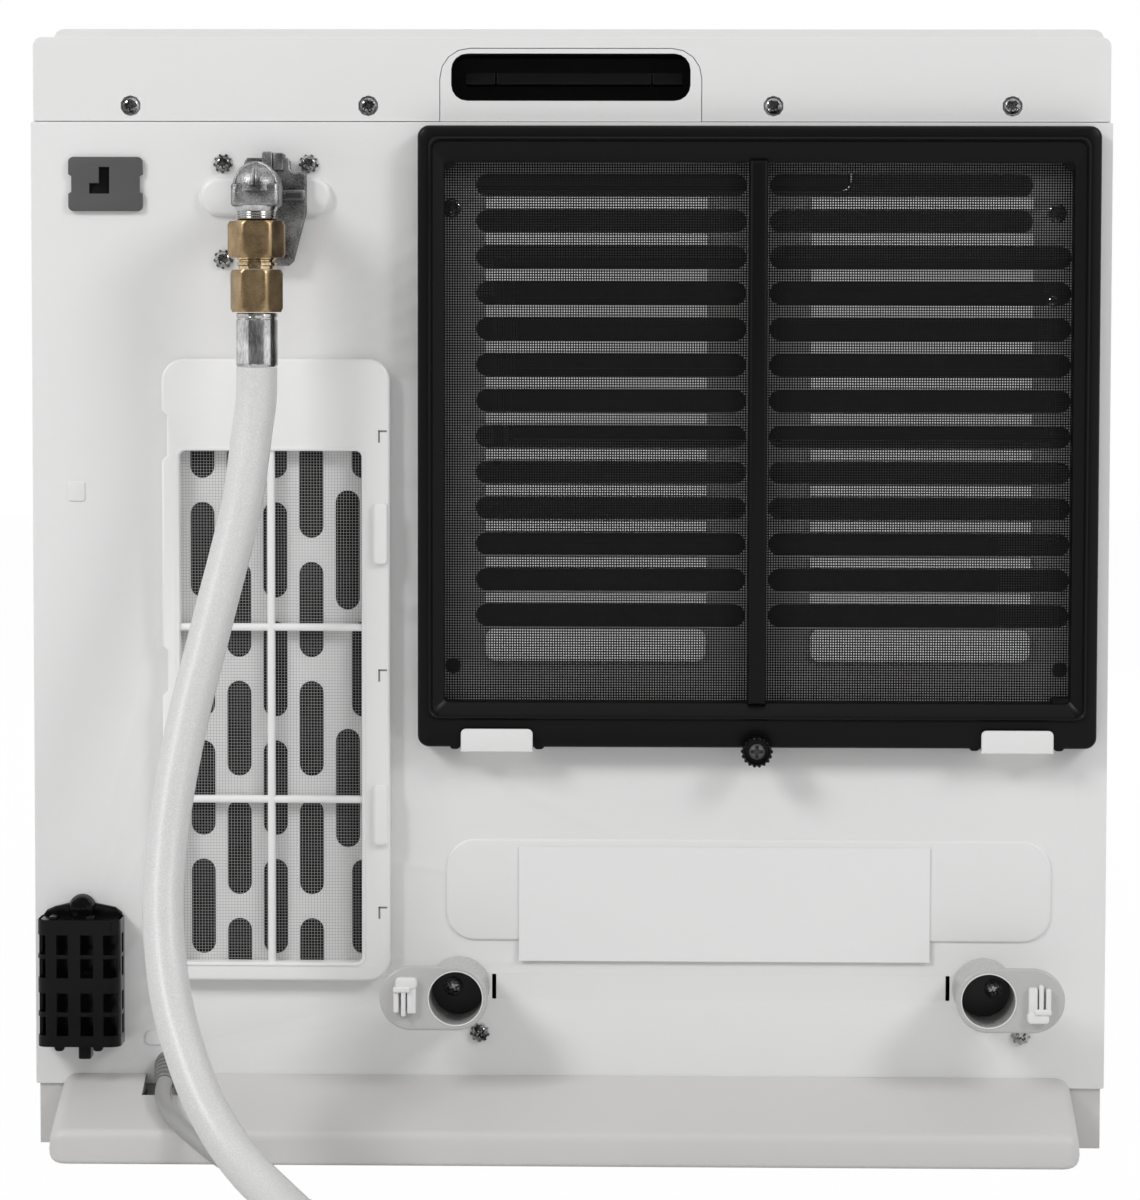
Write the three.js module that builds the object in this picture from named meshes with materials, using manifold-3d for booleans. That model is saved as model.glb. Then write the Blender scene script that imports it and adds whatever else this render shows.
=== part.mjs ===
// A portable fan-assisted gas space heater with its gas hose and power cord.
// Millimetres, +Z up. The rear, which carries the filters and the gas inlet, faces -Y, and +X is to the
// right as one looks at the rear. The origin is on the floor under the middle of the cabinet.

import * as THREE from 'three';
import { mergeVertices } from 'three/addons/utils/BufferGeometryUtils.js';
import Module from 'manifold-3d';

const wasm = await Module();
wasm.setup();

// Clearances and stock
const GAP = 0.3;
const CUT = 2;
const WELD = 0.0001;
const SHEET = 1.2;
const MOULDING = 2.5;
const BOARD = 1.6;

// Cabinet
const BODY_WIDTH = 470;
const CABINET_DEPTH = 160;
const PANEL_BOTTOM = 26.7;
const PANEL_TOP = 448.9;
const COVER_TOP = 485.5;
const COVER_INSET = 1;
const COVER_WALL = 3;
const COVER_RADIUS = 3.6;
const TRAY_HEIGHT = 34;
const DEFLECTOR = { fromLeft: 42, ahead: 4, top: 165 };

// Rear plinth, which steadies the heater and carries the cord over its slope
const PLINTH_INSET = 15.5;
const PLINTH_DEPTH = 48.6;
const PLINTH_TOP = 31.4;
const PLINTH_EDGE = 14.2;
const PLINTH_ROUND = 2;
const NOTCH_HALF_WIDTH = 9.8;
const NOTCH_DEPTH = 18.3;

// Front panel, guessed: the photograph only shows its top edge over the cover
const FRONT_WIDTH = 494;
const FRONT_DEPTH = 28;
const FRONT_TOP = 499.6;
const FRONT_BOTTOM = 8;
const FRONT_CORNER = 5;
const FRONT_EDGE_BEVEL = 4;
const FRONT_FLANGE = 19;

// Warm-air outlet
const OUTLET_HALF_WIDTH = 190;
const OUTLET_BOTTOM = 60;
const OUTLET_TOP = 152;
const OUTLET_RADIUS = 6;
const OUTLET_DEPTH = 12;
const OUTLET_RIM = 6;
const OUTLET_RIB = 4;
const OUTLET_RECESS = 1;
const OUTLET_COLUMNS = 4;
const OUTLET_ROWS = 6;

// Control strip
const CONTROL_HALF_WIDTH = 130;
const CONTROL_HEIGHT = 50;
const CONTROL_BELOW_TOP = 25;
const CONTROL_PLATE = 3.2;
const CONTROL_RADIUS = 5;
const DISPLAY_HALF_WIDTH = 28;
const DISPLAY_HEIGHT = 28;
const BUTTON_RADIUS = 8.7;
const BUTTON_FLANGE = 1.8;
const BUTTON_FLANGE_HEIGHT = 1.8;
const BUTTON_STAND = 2;
const BUTTON_TRAVEL = 1.2;
const BUTTON_INNER_SHARE = 0.48;
const BUTTON_OUTER_SHARE = 0.81;
const SWITCH_HALF_WIDTH = 3;
const SWITCH_HEIGHT = 4.9;
const POST_RADIUS = 3;
const POST_SHARE = 0.93;

// Handle in the top cover
const BEZEL_HALF_WIDTH = 57;
const BEZEL_TOP_DROP = 4.6;
const BEZEL_RADIUS = 13;
const HANDLE_HALF_WIDTH = 52;
const HANDLE_BOTTOM_RISE = 8.9;
const HANDLE_HEIGHT = 20.5;
const HANDLE_RADIUS = 7;
const CUP_DEPTH = 48;
const CUP_WALL = 1.8;
const CUP_MARGIN = 2;

// Screws
const SCREW_HEAD_RADIUS = 4.15;
const SCREW_HEAD_HEIGHT = 2.4;
const SCREW_SHANK_RADIUS = 1.7;
const SCREW_SHANK_LENGTH = 9;
const SCREW_HEAD_SHARES = { rim: 0.33, shoulder: 0.7, shoulderHeight: 0.8 };
const COVER_SCREW_INNER = 88;
const COVER_SCREW_FROM_SIDE = 43.5;
const COVER_SCREW_RISE = 7;

// Gas inlet, placed from the panel's left edge and top edge
const INLET_FROM_LEFT = 102.5;
const INLET_FROM_TOP = 29.9;
const HOSE_STANDOFF = 45;
const INLET_EMBOSS = { width: 58, height: 17, rise: 3.5, below: 2.5 };
const BRACKET_THICKNESS = 4.2;
const BRACKET_LUG_RISE = 5;
const BRACKET_LUG_SHARE = 0.7;
const BRACKET_LEFT = 8.5;
const BRACKET_RIGHT = 18.2;
const BRACKET_STEP_RIGHT = 11.2;
const BRACKET_FOOT_RIGHT = 12.7;
const BRACKET_TOP = 14;
const BRACKET_STEP = 7.7;
const BRACKET_WAIST = 9.6;
const BRACKET_FOOT = 32.6;
const BARREL_RADIUS = 10.5;
const STUB_RADIUS = 8;
const ELBOW_BLOCK = { half: 9.85, top: 1.7, bottom: 7.8 };
const COLLAR_RADIUS = 9.15;
const COLLAR_HEIGHT = 6;
const UNION_NUT = { radius: 12.45, height: 15.6, neckRadius: 8.5, neckHeight: 4.7 };
const TAIL_NUT = { radius: 11.4, height: 18 };
const FERRULE = { radius: 9.1, height: 22.9 };
const INLET_SCREW_SIDE = 18.65;
const INLET_SCREW_RISE = 11.8;
const INLET_SCREW_DROP = 29.7;

// Gas type plate
const TYPE_PLATE = { fromLeft: 16.5, fromTop: 15.3, width: 32.4, height: 23.5, rise: 2, radius: 2 };
const TYPE_WINDOW = { left: 9.2, arm: 8.7, top: 4.4, bottom: 15.9, width: 4.5 };

// Burner air filter
const BURNER_FILTER_FROM_LEFT = 57.3;
const BURNER_FILTER_WIDTH = 99.4;
const BURNER_FILTER_FROM_TOP = 102.8;
const BURNER_FILTER_RISE = 47.2;
const BURNER_FILTER_DEPTH = 8;
const BURNER_FILTER_RADIUS = 9.5;
const BURNER_RIM = { left: 7.8, right: 12.3, bottom: 8.3, top: 40 };
const BURNER_BAR = 3.4;
const BURNER_ROW_SHARES = [0.319, 0.337, 0.344];
const BURNER_NOTCH = { depth: 2.3, height: 19.5, firstDrop: 23.6, secondDrop: 126.4 };
const GRIP = { inset: 1, width: 5, height: 27, rise: 2.4, firstDrop: 62.4, secondDrop: 185.3 };

// Oval air slots behind the burner filter; in the last column each second slot is tall
const OVAL = { width: 10.5, height: 41.8, columnPitch: 15.9, rowPitch: 52.3, firstSide: 17 };
const OVAL_FIRST_RISE = 49.7;
const OVAL_ABOVE_RIM = 3.3;
const OVAL_LAST = { aside: 7, tall: 52.2 };

// Nets
const NET_THICKNESS = 1.2;
const NET_SEAT = 3.2;
const NET_LEDGE = 4;
const NET_STRAND = 1.4;
const FAN_NET_CELL = 31;
const BURNER_NET_CELL = 21;

// Fan air filter
const FILTER_SPACING = 12.4;
const FAN_FILTER_FROM_RIGHT = 5.8;
const FAN_FILTER_FROM_TOP = 1.9;
const FILTER_ABOVE_LABEL = 43;
const FAN_FILTER_DEPTH = 14;
const FAN_FILTER_RADIUS = 5;
const FAN_RIM = { side: 11.5, bottom: 19.6, top: 15.6 };
const FAN_BAR = 8.2;
const FAN_NET_SEAT = 5;

// Fan grille slots in the rear panel
const SLOT = { height: 9.8, pitch: 15.6, fromLeft: 24.9, fromRight: 11.5, between: 10, fromTop: 25.3 };
const SLOT_FROM_BOTTOM = 50;
const SHORT_SLOT_ROWS = 2;
const SHORT_SLOT_BY = 17.1;

// Bent tabs and knurled screw that hold the fan filter
const TAB = { width: 31.2, fromSide: 19, thickness: 1.5, lipRise: 6 };
const THUMBSCREW = { radius: 6.8, length: 7.6, shaftRadius: 2.5, shaftLength: 7, drop: 0.9 };
const KNURL = { teeth: 14, depth: 0.7 };
const THUMBSCREW_CLEARANCE = 0.5;

// Label and its emboss
const LABEL_EMBOSS = { rise: 62.7, height: 45.2, side: 12.6, right: 21.6, radius: 11, proud: 1.2 };
const LABEL = { left: 31.3, right: 49.6, drop: 1.8, height: 50.4, thickness: 0.4 };

// Wall spacers, which also hold the wound cord
const SPACER = { rise: 44, depth: 35, tube: 12.9, bore: 11.5, floor: 4.5 };
const SPACER_FLANGE = { radius: 14, reach: 18.9, depth: 4 };
const SPACER_INSET = 4.7;
const SPACER_RIGHT_INSET = 34.7;
const SPACER_SCREW_RISE = 4;
const SNAP_SLOT = { width: 1.8, height: 11, gap: 1.6 };

// Room sensor cage
const CAGE = { fromLeft: 5.6, width: 37.2, rise: 21.3, height: 54.2, depth: 20, wall: 1.6, radius: 5 };
const CAGE_EAR = { fromLeft: 10.5, width: 16, rise: 12.1, radius: 7 };
const CAGE_LATCH = { fromLeft: 16.1, width: 6, drop: 6, depth: 6 };
const CAGE_WINDOW = { width: 5.8, height: 7.8, column: 10.4, row: 10.4, fromLeft: 7.4, fromBottom: 5.2 };
const CAGE_MIDDLE_BAR = 4.6;
const CAGE_COLUMNS = 3;
const CAGE_ROWS = 4;
const THERMISTOR = { radius: 3, length: 20, foot: 10 };

// Strain relief: from the panel face it slopes down, parallel to the plinth
const RELIEF = { fromLeft: 58.5, radius: 5.9, start: 35.4, end: 30, reach: 15, inside: 6 };

// Gas hose: the points of its free run, then a turn and a bit on the floor
const HOSE_RADIUS = 8.7;
const HOSE_RUN = [
  [-132.7, -139.1, 330.2],
  [-134.4, -140.2, 316.2],
  [-138.3, -144, 286.5],
  [-143.9, -148.5, 261.2],
  [-148.1, -152, 244.3],
  [-153, -157, 223.4],
  [-158, -162.5, 202.7],
  [-162, -168.5, 182],
  [-165.2, -175, 161.5],
  [-167, -182, 141.2],
  [-167.6, -190, 121.2],
  [-165.9, -198.5, 101.4],
  [-162.2, -208.5, 82],
  [-155.6, -220, 63.2],
  [-146.8, -232.3, 44.8],
  [-137, -243.6, 31.2],
  [-126.5, -256.2, 21.2],
  [-114.1, -273.4, 13.7],
  [-105.2, -290.8, 10.2],
  [-98.9, -308.4, 9],
  [-93.4, -325, 9],
  [-88, -341.5, 9],
];
const HOSE_LOOP = { x: -81.5, y: -361.5, wide: 100, tight: 70 };
const HOSE_LOOP_HEADING = -72;
const HOSE_LOOP_WIDE_TURN = 240;
const HOSE_LOOP_TIGHT_TURN = 130;
const BAYONET = { ferrule: 22, nut: 14, nutRadius: 12, body: 10, bodyRadius: 9.5, nose: 14, noseRadius: 7.6 };
const BAYONET_LUG = { reach: 10.5, half: 1.5, fromTip: 6 };

// Power cord: the points of its free run, then a coil of two layers
const CORD_RADIUS = 3.5;
const CORD_RUN = [
  [-176.5, -115.9, 27.6],
  [-175.8, -122, 25.5],
  [-173.8, -129, 23.1],
  [-171.1, -135.5, 20.9],
  [-167.6, -141.8, 18.5],
  [-162.1, -148.4, 15.1],
  [-155.3, -154.8, 11],
  [-147.8, -162.4, 7.2],
  [-139.8, -172.6, 4.7],
  [-132.5, -185, 3.8],
  [-126, -198, 3.8],
  [-119.5, -212, 3.8],
  [-113.2, -226, 3.8],
  [-106.8, -240, 3.8],
  [-99.8, -253.8, 3.8],
  [-90.5, -266.8, 3.8],
  [-78, -277.6, 3.8],
  [-62, -285, 3.8],
  [-43, -289.8, 3.8],
  [-24.5, -292.3, 3.8],
];
const CORD_COIL = { x: 0, y: -345, radius: 52, pitch: 7.6, tail: 45 };
const CORD_COIL_LOOPS = 6.25;
const CORD_CLIMB_LEAD = 0.25;
const PLUG = { sleeve: 12, sleeveRadius: 5.5, length: 32, width: 36, height: 22, radius: 6 };
const PIN = { length: 17, width: 6.4, thickness: 1.6, side: 7 };

// Fan, motor and housing
const ROTOR = { radius: 36, disc: 2, blade: 9, bladeThickness: 1.2, shaft: 4 };
const ROTOR_BLADES = 14;
const ROTOR_DISCS = 3;
const ROTOR_TILT = 0.5;
const HOUSING = { clearance: 8, wall: 1.5, plate: 2, side: 4 };
const HOUSING_FROM_LEFT = 32;
const HOUSING_FROM_RIGHT = 11.2;
const HOUSING_ARC = [-0.35, 2.2];
const FAN_AXIS_DROP = 103.9;
const MOTOR = { radius: 29, length: 40, shaftIn: 25 };

// Combustion side
const CHAMBER = { fromLeft: 115, fromRight: 45, top: 265, throat: 160, rear: 39, front: 26, wall: 1.5 };
const CHAMBER_LEG = 20;
const BURNER = { radius: 9, height: 185, overhang: 5.2, port: 3, portDepth: 4 };
const BURNER_PORTS = 10;
const ELECTRODE = { radius: 3.5, length: 25, rod: 1.2, rodLength: 15, rise: 25, first: 22, second: 42 };
const VALVE = { left: 27.5, right: 27.5, depth: 45, top: 26, bottom: 34, coil: 10, coilReach: 24 };
const VALVE_INSET = 28;
const PIPE = { radius: 4, side: 12.5, bend: 15 };

// Electrics
const MAIN_BOARD = { bottom: 120, top: 280, rear: 42, front: 26, standoff: 5.9, part: 12 };
const BOARD_PART_SHARES = [0.2, 0.5, 0.75];
const TIP_SWITCH = { side: 22, length: 25, height: 27, fromSide: 13, front: 22 };

// Rounding steps of arcs and turned pieces
const CORNER_STEPS = 2;
const ROUND_STEPS = 20;
const SMALL_ROUND_STEPS = 10;
const CORD_SIDES = 10;
const LOOP_SIDES = 6;
const LOOP_STEPS = 24;
const NEIGHBOUR_RADII = 6;
const STEEP_SHARE = 0.9;
const HEX_SIDES = 6;
const FLANGE_STEPS = 4;
const SLOT_STEPS = 1;
const SHROUD_STEPS = 6;
const PIPE_BEND_STEPS = 4;
const RUN_STEPS_PER_DIAMETER = 0.5;

// Places worked out from the sizes above
const BODY_HALF = BODY_WIDTH / 2;
const REAR_Y = -(CABINET_DEPTH + FRONT_DEPTH) / 2;
const CABINET_FRONT_Y = REAR_Y + CABINET_DEPTH;
const FRONT_Y = CABINET_FRONT_Y + FRONT_DEPTH;
const INLET_X = -BODY_HALF + INLET_FROM_LEFT;
const INLET_Z = PANEL_TOP - INLET_FROM_TOP;
const BRACKET_BACK = INLET_EMBOSS.rise + GAP;
const BRACKET_FACE = BRACKET_BACK + BRACKET_THICKNESS;
const BURNER_LEFT = -BODY_HALF + BURNER_FILTER_FROM_LEFT;
const BURNER_X = [BURNER_LEFT, BURNER_LEFT + BURNER_FILTER_WIDTH];
const BURNER_Z = [PANEL_BOTTOM + BURNER_FILTER_RISE, PANEL_TOP - BURNER_FILTER_FROM_TOP];
const LABEL_EMBOSS_BOTTOM = PANEL_BOTTOM + LABEL_EMBOSS.rise;
const LABEL_EMBOSS_Z = [LABEL_EMBOSS_BOTTOM, LABEL_EMBOSS_BOTTOM + LABEL_EMBOSS.height];
const FAN_X = [BURNER_X[1] + FILTER_SPACING, BODY_HALF - FAN_FILTER_FROM_RIGHT];
const FAN_Z = [LABEL_EMBOSS_Z[1] + FILTER_ABOVE_LABEL, PANEL_TOP - FAN_FILTER_FROM_TOP];
const FAN_MIDDLE_X = (FAN_X[0] + FAN_X[1]) / 2;
const THUMBSCREW_Z = FAN_Z[0] - THUMBSCREW.drop;
const SPACER_Z = PANEL_BOTTOM + SPACER.rise;
const SPACER_XS = [
  FAN_X[0] + SPACER.tube + SPACER_INSET,
  FAN_X[1] - SPACER.tube - SPACER_RIGHT_INSET,
];

// Looks
const WHITE_PAINT = { color: 0xe9e9e8, roughness: 0.45, metalness: 0 };
const WHITE_PLASTIC = { color: 0xe4e4e3, roughness: 0.5, metalness: 0 };
const GREY_PLASTIC = { color: 0xb9b9b6, roughness: 0.55, metalness: 0 };
const PLATE_GREY = { color: 0x56575a, roughness: 0.5, metalness: 0 };
const BLACK_PLASTIC = { color: 0x17181a, roughness: 0.5, metalness: 0 };
const BLACK_NET = { color: 0x222426, roughness: 0.7, metalness: 0 };
const WHITE_NET = { color: 0xd6d6d4, roughness: 0.8, metalness: 0 };
const CAST_ZINC = { color: 0x9a9b9d, roughness: 0.55, metalness: 0.9 };
const BRIGHT_STEEL = { color: 0xc9cbce, roughness: 0.25, metalness: 1 };
const BRASS = { color: 0xb48d4e, roughness: 0.35, metalness: 1 };
const HOSE_WHITE = { color: 0xdcdcda, roughness: 0.35, metalness: 0 };
const CORD_GREY = { color: 0xc4c4c1, roughness: 0.5, metalness: 0 };
const LABEL_WHITE = { color: 0xf0f0ef, roughness: 0.4, metalness: 0 };
const DARK_GLASS = { color: 0x0c0d10, roughness: 0.1, metalness: 0 };
const GALVANISED = { color: 0xa9adb0, roughness: 0.4, metalness: 0.9 };
const CERAMIC = { color: 0xf1efe8, roughness: 0.4, metalness: 0 };
const BOARD_GREEN = { color: 0x2f5a3a, roughness: 0.6, metalness: 0 };

// Solids

function outwardY(standoff) {
  return REAR_Y - standoff;
}

function signedVolume(positions, indices) {
  const a = new THREE.Vector3();
  const b = new THREE.Vector3();
  const c = new THREE.Vector3();
  let total = 0;
  for (let i = 0; i < indices.length; i += 3) {
    a.fromArray(positions, indices[i] * 3);
    b.fromArray(positions, indices[i + 1] * 3);
    c.fromArray(positions, indices[i + 2] * 3);
    total += a.dot(b.cross(c));
  }
  return total;
}

function toSolid(geometry) {
  geometry.deleteAttribute('normal');
  geometry.deleteAttribute('uv');
  const merged = mergeVertices(geometry, WELD);
  const indices = [];
  const all = merged.index.array;
  for (let i = 0; i < all.length; i += 3) {
    const [a, b, c] = [all[i], all[i + 1], all[i + 2]];
    if (a !== b && b !== c && c !== a) {
      indices.push(a, b, c);
    }
  }
  if (signedVolume(merged.attributes.position.array, indices) < 0) {
    indices.reverse();
  }
  return new wasm.Manifold(new wasm.Mesh({
    numProp: 3,
    vertProperties: new Float32Array(merged.attributes.position.array),
    triVerts: new Uint32Array(indices),
  }));
}

function joined(solids) {
  return solids.reduce((sum, solid) => sum.add(solid));
}

function cutAway(solid, tools) {
  return tools.reduce((left, tool) => left.subtract(tool), solid);
}

function block([x0, x1], [y0, y1], [z0, z1]) {
  const geometry = new THREE.BoxGeometry(x1 - x0, y1 - y0, z1 - z0);
  geometry.translate((x0 + x1) / 2, (y0 + y1) / 2, (z0 + z1) / 2);
  return toSolid(geometry);
}

function slab(x, [low, high], z) {
  return block(x, [outwardY(high), outwardY(low)], z);
}

function roundRect([x0, x1], [z0, z1], radius) {
  const shape = new THREE.Shape();
  shape.moveTo(x0 + radius, z0);
  shape.lineTo(x1 - radius, z0);
  shape.absarc(x1 - radius, z0 + radius, radius, -Math.PI / 2, 0);
  shape.lineTo(x1, z1 - radius);
  shape.absarc(x1 - radius, z1 - radius, radius, 0, Math.PI / 2);
  shape.lineTo(x0 + radius, z1);
  shape.absarc(x0 + radius, z1 - radius, radius, Math.PI / 2, Math.PI);
  shape.lineTo(x0, z0 + radius);
  shape.absarc(x0 + radius, z0 + radius, radius, Math.PI, Math.PI * 1.5);
  return shape;
}

function rect([x0, x1], [z0, z1]) {
  return polygon([[x0, z0], [x1, z0], [x1, z1], [x0, z1]]);
}

function polygon(points) {
  return new THREE.Shape(points.map(([x, z]) => new THREE.Vector2(x, z)));
}

function disc(x, z, radius) {
  return new THREE.Shape().absarc(x, z, radius, 0, Math.PI * 2);
}

function extruded(shape, depth, steps) {
  return new THREE.ExtrudeGeometry(shape, { depth, bevelEnabled: false, curveSegments: steps });
}

// A shape drawn in X and Z, from one distance outward of the rear panel's face to another
function plate(shape, [low, high], steps = CORNER_STEPS) {
  const geometry = extruded(shape, high - low, steps);
  geometry.rotateX(Math.PI / 2);
  geometry.translate(0, outwardY(low), 0);
  return toSolid(geometry);
}

// The same between two places along Y
function plateY(shape, [y0, y1], steps = CORNER_STEPS) {
  return plate(shape, [REAR_Y - y1, REAR_Y - y0], steps);
}

// A profile drawn in outward distance and Z, carried along X
function beam(profile, [x0, x1], steps = CORNER_STEPS) {
  const geometry = extruded(profile, x1 - x0, steps);
  const outward = new THREE.Vector3(0, -1, 0);
  const up = new THREE.Vector3(0, 0, 1);
  geometry.applyMatrix4(new THREE.Matrix4().makeBasis(outward, up, new THREE.Vector3(-1, 0, 0)));
  geometry.translate(x1, REAR_Y, 0);
  return toSolid(geometry);
}

// A profile of radii and distances along an axis that starts at a point
function turned(profile, at, axis, steps = ROUND_STEPS) {
  const geometry = new THREE.LatheGeometry(profile.map(([r, h]) => new THREE.Vector2(r, h)), steps);
  const turn = new THREE.Quaternion().setFromUnitVectors(new THREE.Vector3(0, 1, 0), axis);
  geometry.applyQuaternion(turn);
  geometry.translate(at.x, at.y, at.z);
  return toSolid(geometry);
}

function rod(radius, length, at, axis, steps = ROUND_STEPS) {
  return turned([[0, 0], [radius, 0], [radius, length], [0, length]], at, axis, steps);
}

function rearHole(x, z, radius, steps = SMALL_ROUND_STEPS) {
  const depth = SHEET + CUT;
  return rod(radius, 2 * depth, new THREE.Vector3(x, REAR_Y + depth, z), OUTWARD, steps);
}

const OUTWARD = new THREE.Vector3(0, -1, 0);
const UP = new THREE.Vector3(0, 0, 1);
const DOWN = new THREE.Vector3(0, 0, -1);
const RIGHT = new THREE.Vector3(1, 0, 0);
const FORWARD = new THREE.Vector3(0, 1, 0);

// Tubes

function ringFrames(points) {
  const tangents = points.map((point, i) => {
    const before = points[Math.max(i - 1, 0)];
    const after = points[Math.min(i + 1, points.length - 1)];
    return after.clone().sub(before).normalize();
  });
  let normal = Math.abs(tangents[0].z) < STEEP_SHARE ? UP.clone() : FORWARD.clone();
  return tangents.map((tangent) => {
    normal = normal.clone().addScaledVector(tangent, -normal.dot(tangent)).normalize();
    return { normal, side: tangent.clone().cross(normal) };
  });
}

// One unbroken closed tube through the points, with flat ends
function tube(points, radius, sides) {
  const positions = [];
  const frames = ringFrames(points);
  points.forEach((point, i) => {
    for (let k = 0; k < sides; k += 1) {
      const angle = (k / sides) * Math.PI * 2;
      const place = point.clone()
        .addScaledVector(frames[i].normal, radius * Math.cos(angle))
        .addScaledVector(frames[i].side, radius * Math.sin(angle));
      positions.push(...place.toArray());
    }
  });
  positions.push(...points[0].toArray(), ...points[points.length - 1].toArray());
  const geometry = new THREE.BufferGeometry();
  geometry.setAttribute('position', new THREE.Float32BufferAttribute(positions, 3));
  geometry.setIndex(tubeFaces(points.length, sides));
  return toSolid(geometry);
}

function tubeFaces(rings, sides) {
  const faces = [];
  const first = rings * sides;
  for (let k = 0; k < sides; k += 1) {
    const next = (k + 1) % sides;
    for (let i = 0; i + 1 < rings; i += 1) {
      const a = i * sides;
      const b = a + sides;
      faces.push(a + k, a + next, b + next, a + k, b + next, b + k);
    }
    const last = (rings - 1) * sides;
    faces.push(first, next, k, first + 1, last + k, last + next);
  }
  return faces;
}

// The free stretch of a cord: a section carried along a smooth curve through the route's points
function run(points, radius, sides, stepsPerDiameter) {
  const curve = new THREE.CatmullRomCurve3(points, false, 'centripetal');
  const section = new THREE.Shape();
  for (let k = 0; k < sides; k += 1) {
    const angle = (k / sides) * Math.PI * 2;
    const [x, y] = [radius * Math.cos(angle), radius * Math.sin(angle)];
    if (k === 0) {
      section.moveTo(x, y);
    } else {
      section.lineTo(x, y);
    }
  }
  const steps = Math.round((curve.getLength() / (2 * radius)) * stepsPerDiameter);
  return toSolid(new THREE.ExtrudeGeometry(section, { steps, extrudePath: curve }));
}

function toPoints(list) {
  return list.map((place) => new THREE.Vector3(...place));
}

function pathLength(points) {
  return points.slice(1).reduce((sum, point, i) => sum + point.distanceTo(points[i]), 0);
}

// The least distance between two stretches of a tube that aren't next to each other, less its diameter
function leastGap(points, radius) {
  const along = [0];
  points.slice(1).forEach((point, i) => along.push(along[i] + point.distanceTo(points[i])));
  let least = Infinity;
  points.forEach((point, i) => {
    for (let j = i + 1; j < points.length; j += 1) {
      if (along[j] - along[i] > NEIGHBOUR_RADII * radius) {
        least = Math.min(least, point.distanceTo(points[j]) - 2 * radius);
      }
    }
  });
  return least;
}

function smoothShare(share) {
  const clipped = Math.min(Math.max(share, 0), 1);
  return clipped * clipped * (3 - 2 * clipped);
}

// Nodes

const heater = new THREE.Group();

function add(name, solid, look) {
  const mesh = solid.getMesh();
  const geometry = new THREE.BufferGeometry();
  geometry.setAttribute('position', new THREE.BufferAttribute(mesh.vertProperties, 3));
  geometry.setIndex(new THREE.BufferAttribute(mesh.triVerts, 1));
  geometry.computeVertexNormals();
  const node = new THREE.Mesh(geometry, new THREE.MeshStandardMaterial(look));
  node.name = name;
  heater.add(node);
  return node;
}

// Base

const TRAY_HALF = BODY_HALF - SHEET - GAP;
const TRAY_REAR_Y = REAR_Y + SHEET + GAP;

function baseTray() {
  const outer = block([-TRAY_HALF, TRAY_HALF], [TRAY_REAR_Y, CABINET_FRONT_Y], [0, TRAY_HEIGHT]);
  const inner = block(
    [-TRAY_HALF + MOULDING, TRAY_HALF - MOULDING],
    [TRAY_REAR_Y + MOULDING, CABINET_FRONT_Y - MOULDING],
    [MOULDING, TRAY_HEIGHT + CUT],
  );
  return outer.subtract(inner).subtract(reliefTool(GAP)).add(airDeflector());
}

// A wall ahead of the combustion chamber that keeps the burner's own air out of the outlet
function airDeflector() {
  const y = CHAMBER_Y[1] + DEFLECTOR.ahead;
  return block(
    [-BODY_HALF + DEFLECTOR.fromLeft, CHAMBER_X[0] + MOULDING],
    [y, y + MOULDING],
    [MOULDING / 2, DEFLECTOR.top],
  );
}

function plinthProfile(inset) {
  const slope = (PLINTH_TOP - PLINTH_EDGE) / PLINTH_DEPTH;
  const outerFace = PLINTH_DEPTH - inset;
  const edge = PLINTH_EDGE - inset;
  return polygon([
    [GAP + inset, inset === 0 ? 0 : -CUT],
    [outerFace, inset === 0 ? 0 : -CUT],
    [outerFace, edge - PLINTH_ROUND * slope],
    [outerFace - PLINTH_ROUND, edge + PLINTH_ROUND * slope],
    [GAP + inset, PLINTH_TOP - inset],
  ]);
}

function rearPlinth() {
  const half = BODY_HALF - PLINTH_INSET;
  const shell = beam(plinthProfile(0), [-half, half])
    .subtract(beam(plinthProfile(MOULDING), [-half + MOULDING, half - MOULDING]));
  const notchX = [RELIEF_X - NOTCH_HALF_WIDTH, RELIEF_X + NOTCH_HALF_WIDTH];
  const notch = slab(notchX, [-CUT, NOTCH_DEPTH], [PLINTH_EDGE, PLINTH_TOP + CUT]);
  return shell.subtract(notch);
}

// Strain relief

const RELIEF_X = -BODY_HALF + RELIEF.fromLeft;
const RELIEF_START = new THREE.Vector3(RELIEF_X, REAR_Y, RELIEF.start);
const RELIEF_END = new THREE.Vector3(RELIEF_X, outwardY(RELIEF.reach), RELIEF.end);
const RELIEF_AXIS = RELIEF_END.clone().sub(RELIEF_START).normalize();

function reliefTool(clearance) {
  const at = RELIEF_START.clone().addScaledVector(RELIEF_AXIS, -RELIEF.inside - 2 * clearance);
  const length = RELIEF.inside + RELIEF_START.distanceTo(RELIEF_END) + 2 * clearance;
  return rod(RELIEF.radius + clearance, length, at, RELIEF_AXIS, ROUND_STEPS);
}

// Rear panel

function grilleSlots() {
  const middle = [FAN_MIDDLE_X - SLOT.between / 2, FAN_MIDDLE_X + SLOT.between / 2];
  const slots = [];
  const first = FAN_Z[1] - SLOT.fromTop;
  const rows = Math.floor((first - FAN_Z[0] - SLOT_FROM_BOTTOM) / SLOT.pitch) + 1;
  for (let row = 0; row < rows; row += 1) {
    const z = first - row * SLOT.pitch;
    const rise = [z - SLOT.height / 2, z + SLOT.height / 2];
    const right = FAN_X[1] - SLOT.fromRight - (row < SHORT_SLOT_ROWS ? SHORT_SLOT_BY : 0);
    slots.push(roundRect([FAN_X[0] + SLOT.fromLeft, middle[0]], rise, SLOT.height / 2));
    slots.push(roundRect([middle[1], right], rise, SLOT.height / 2));
  }
  return slots;
}

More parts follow.
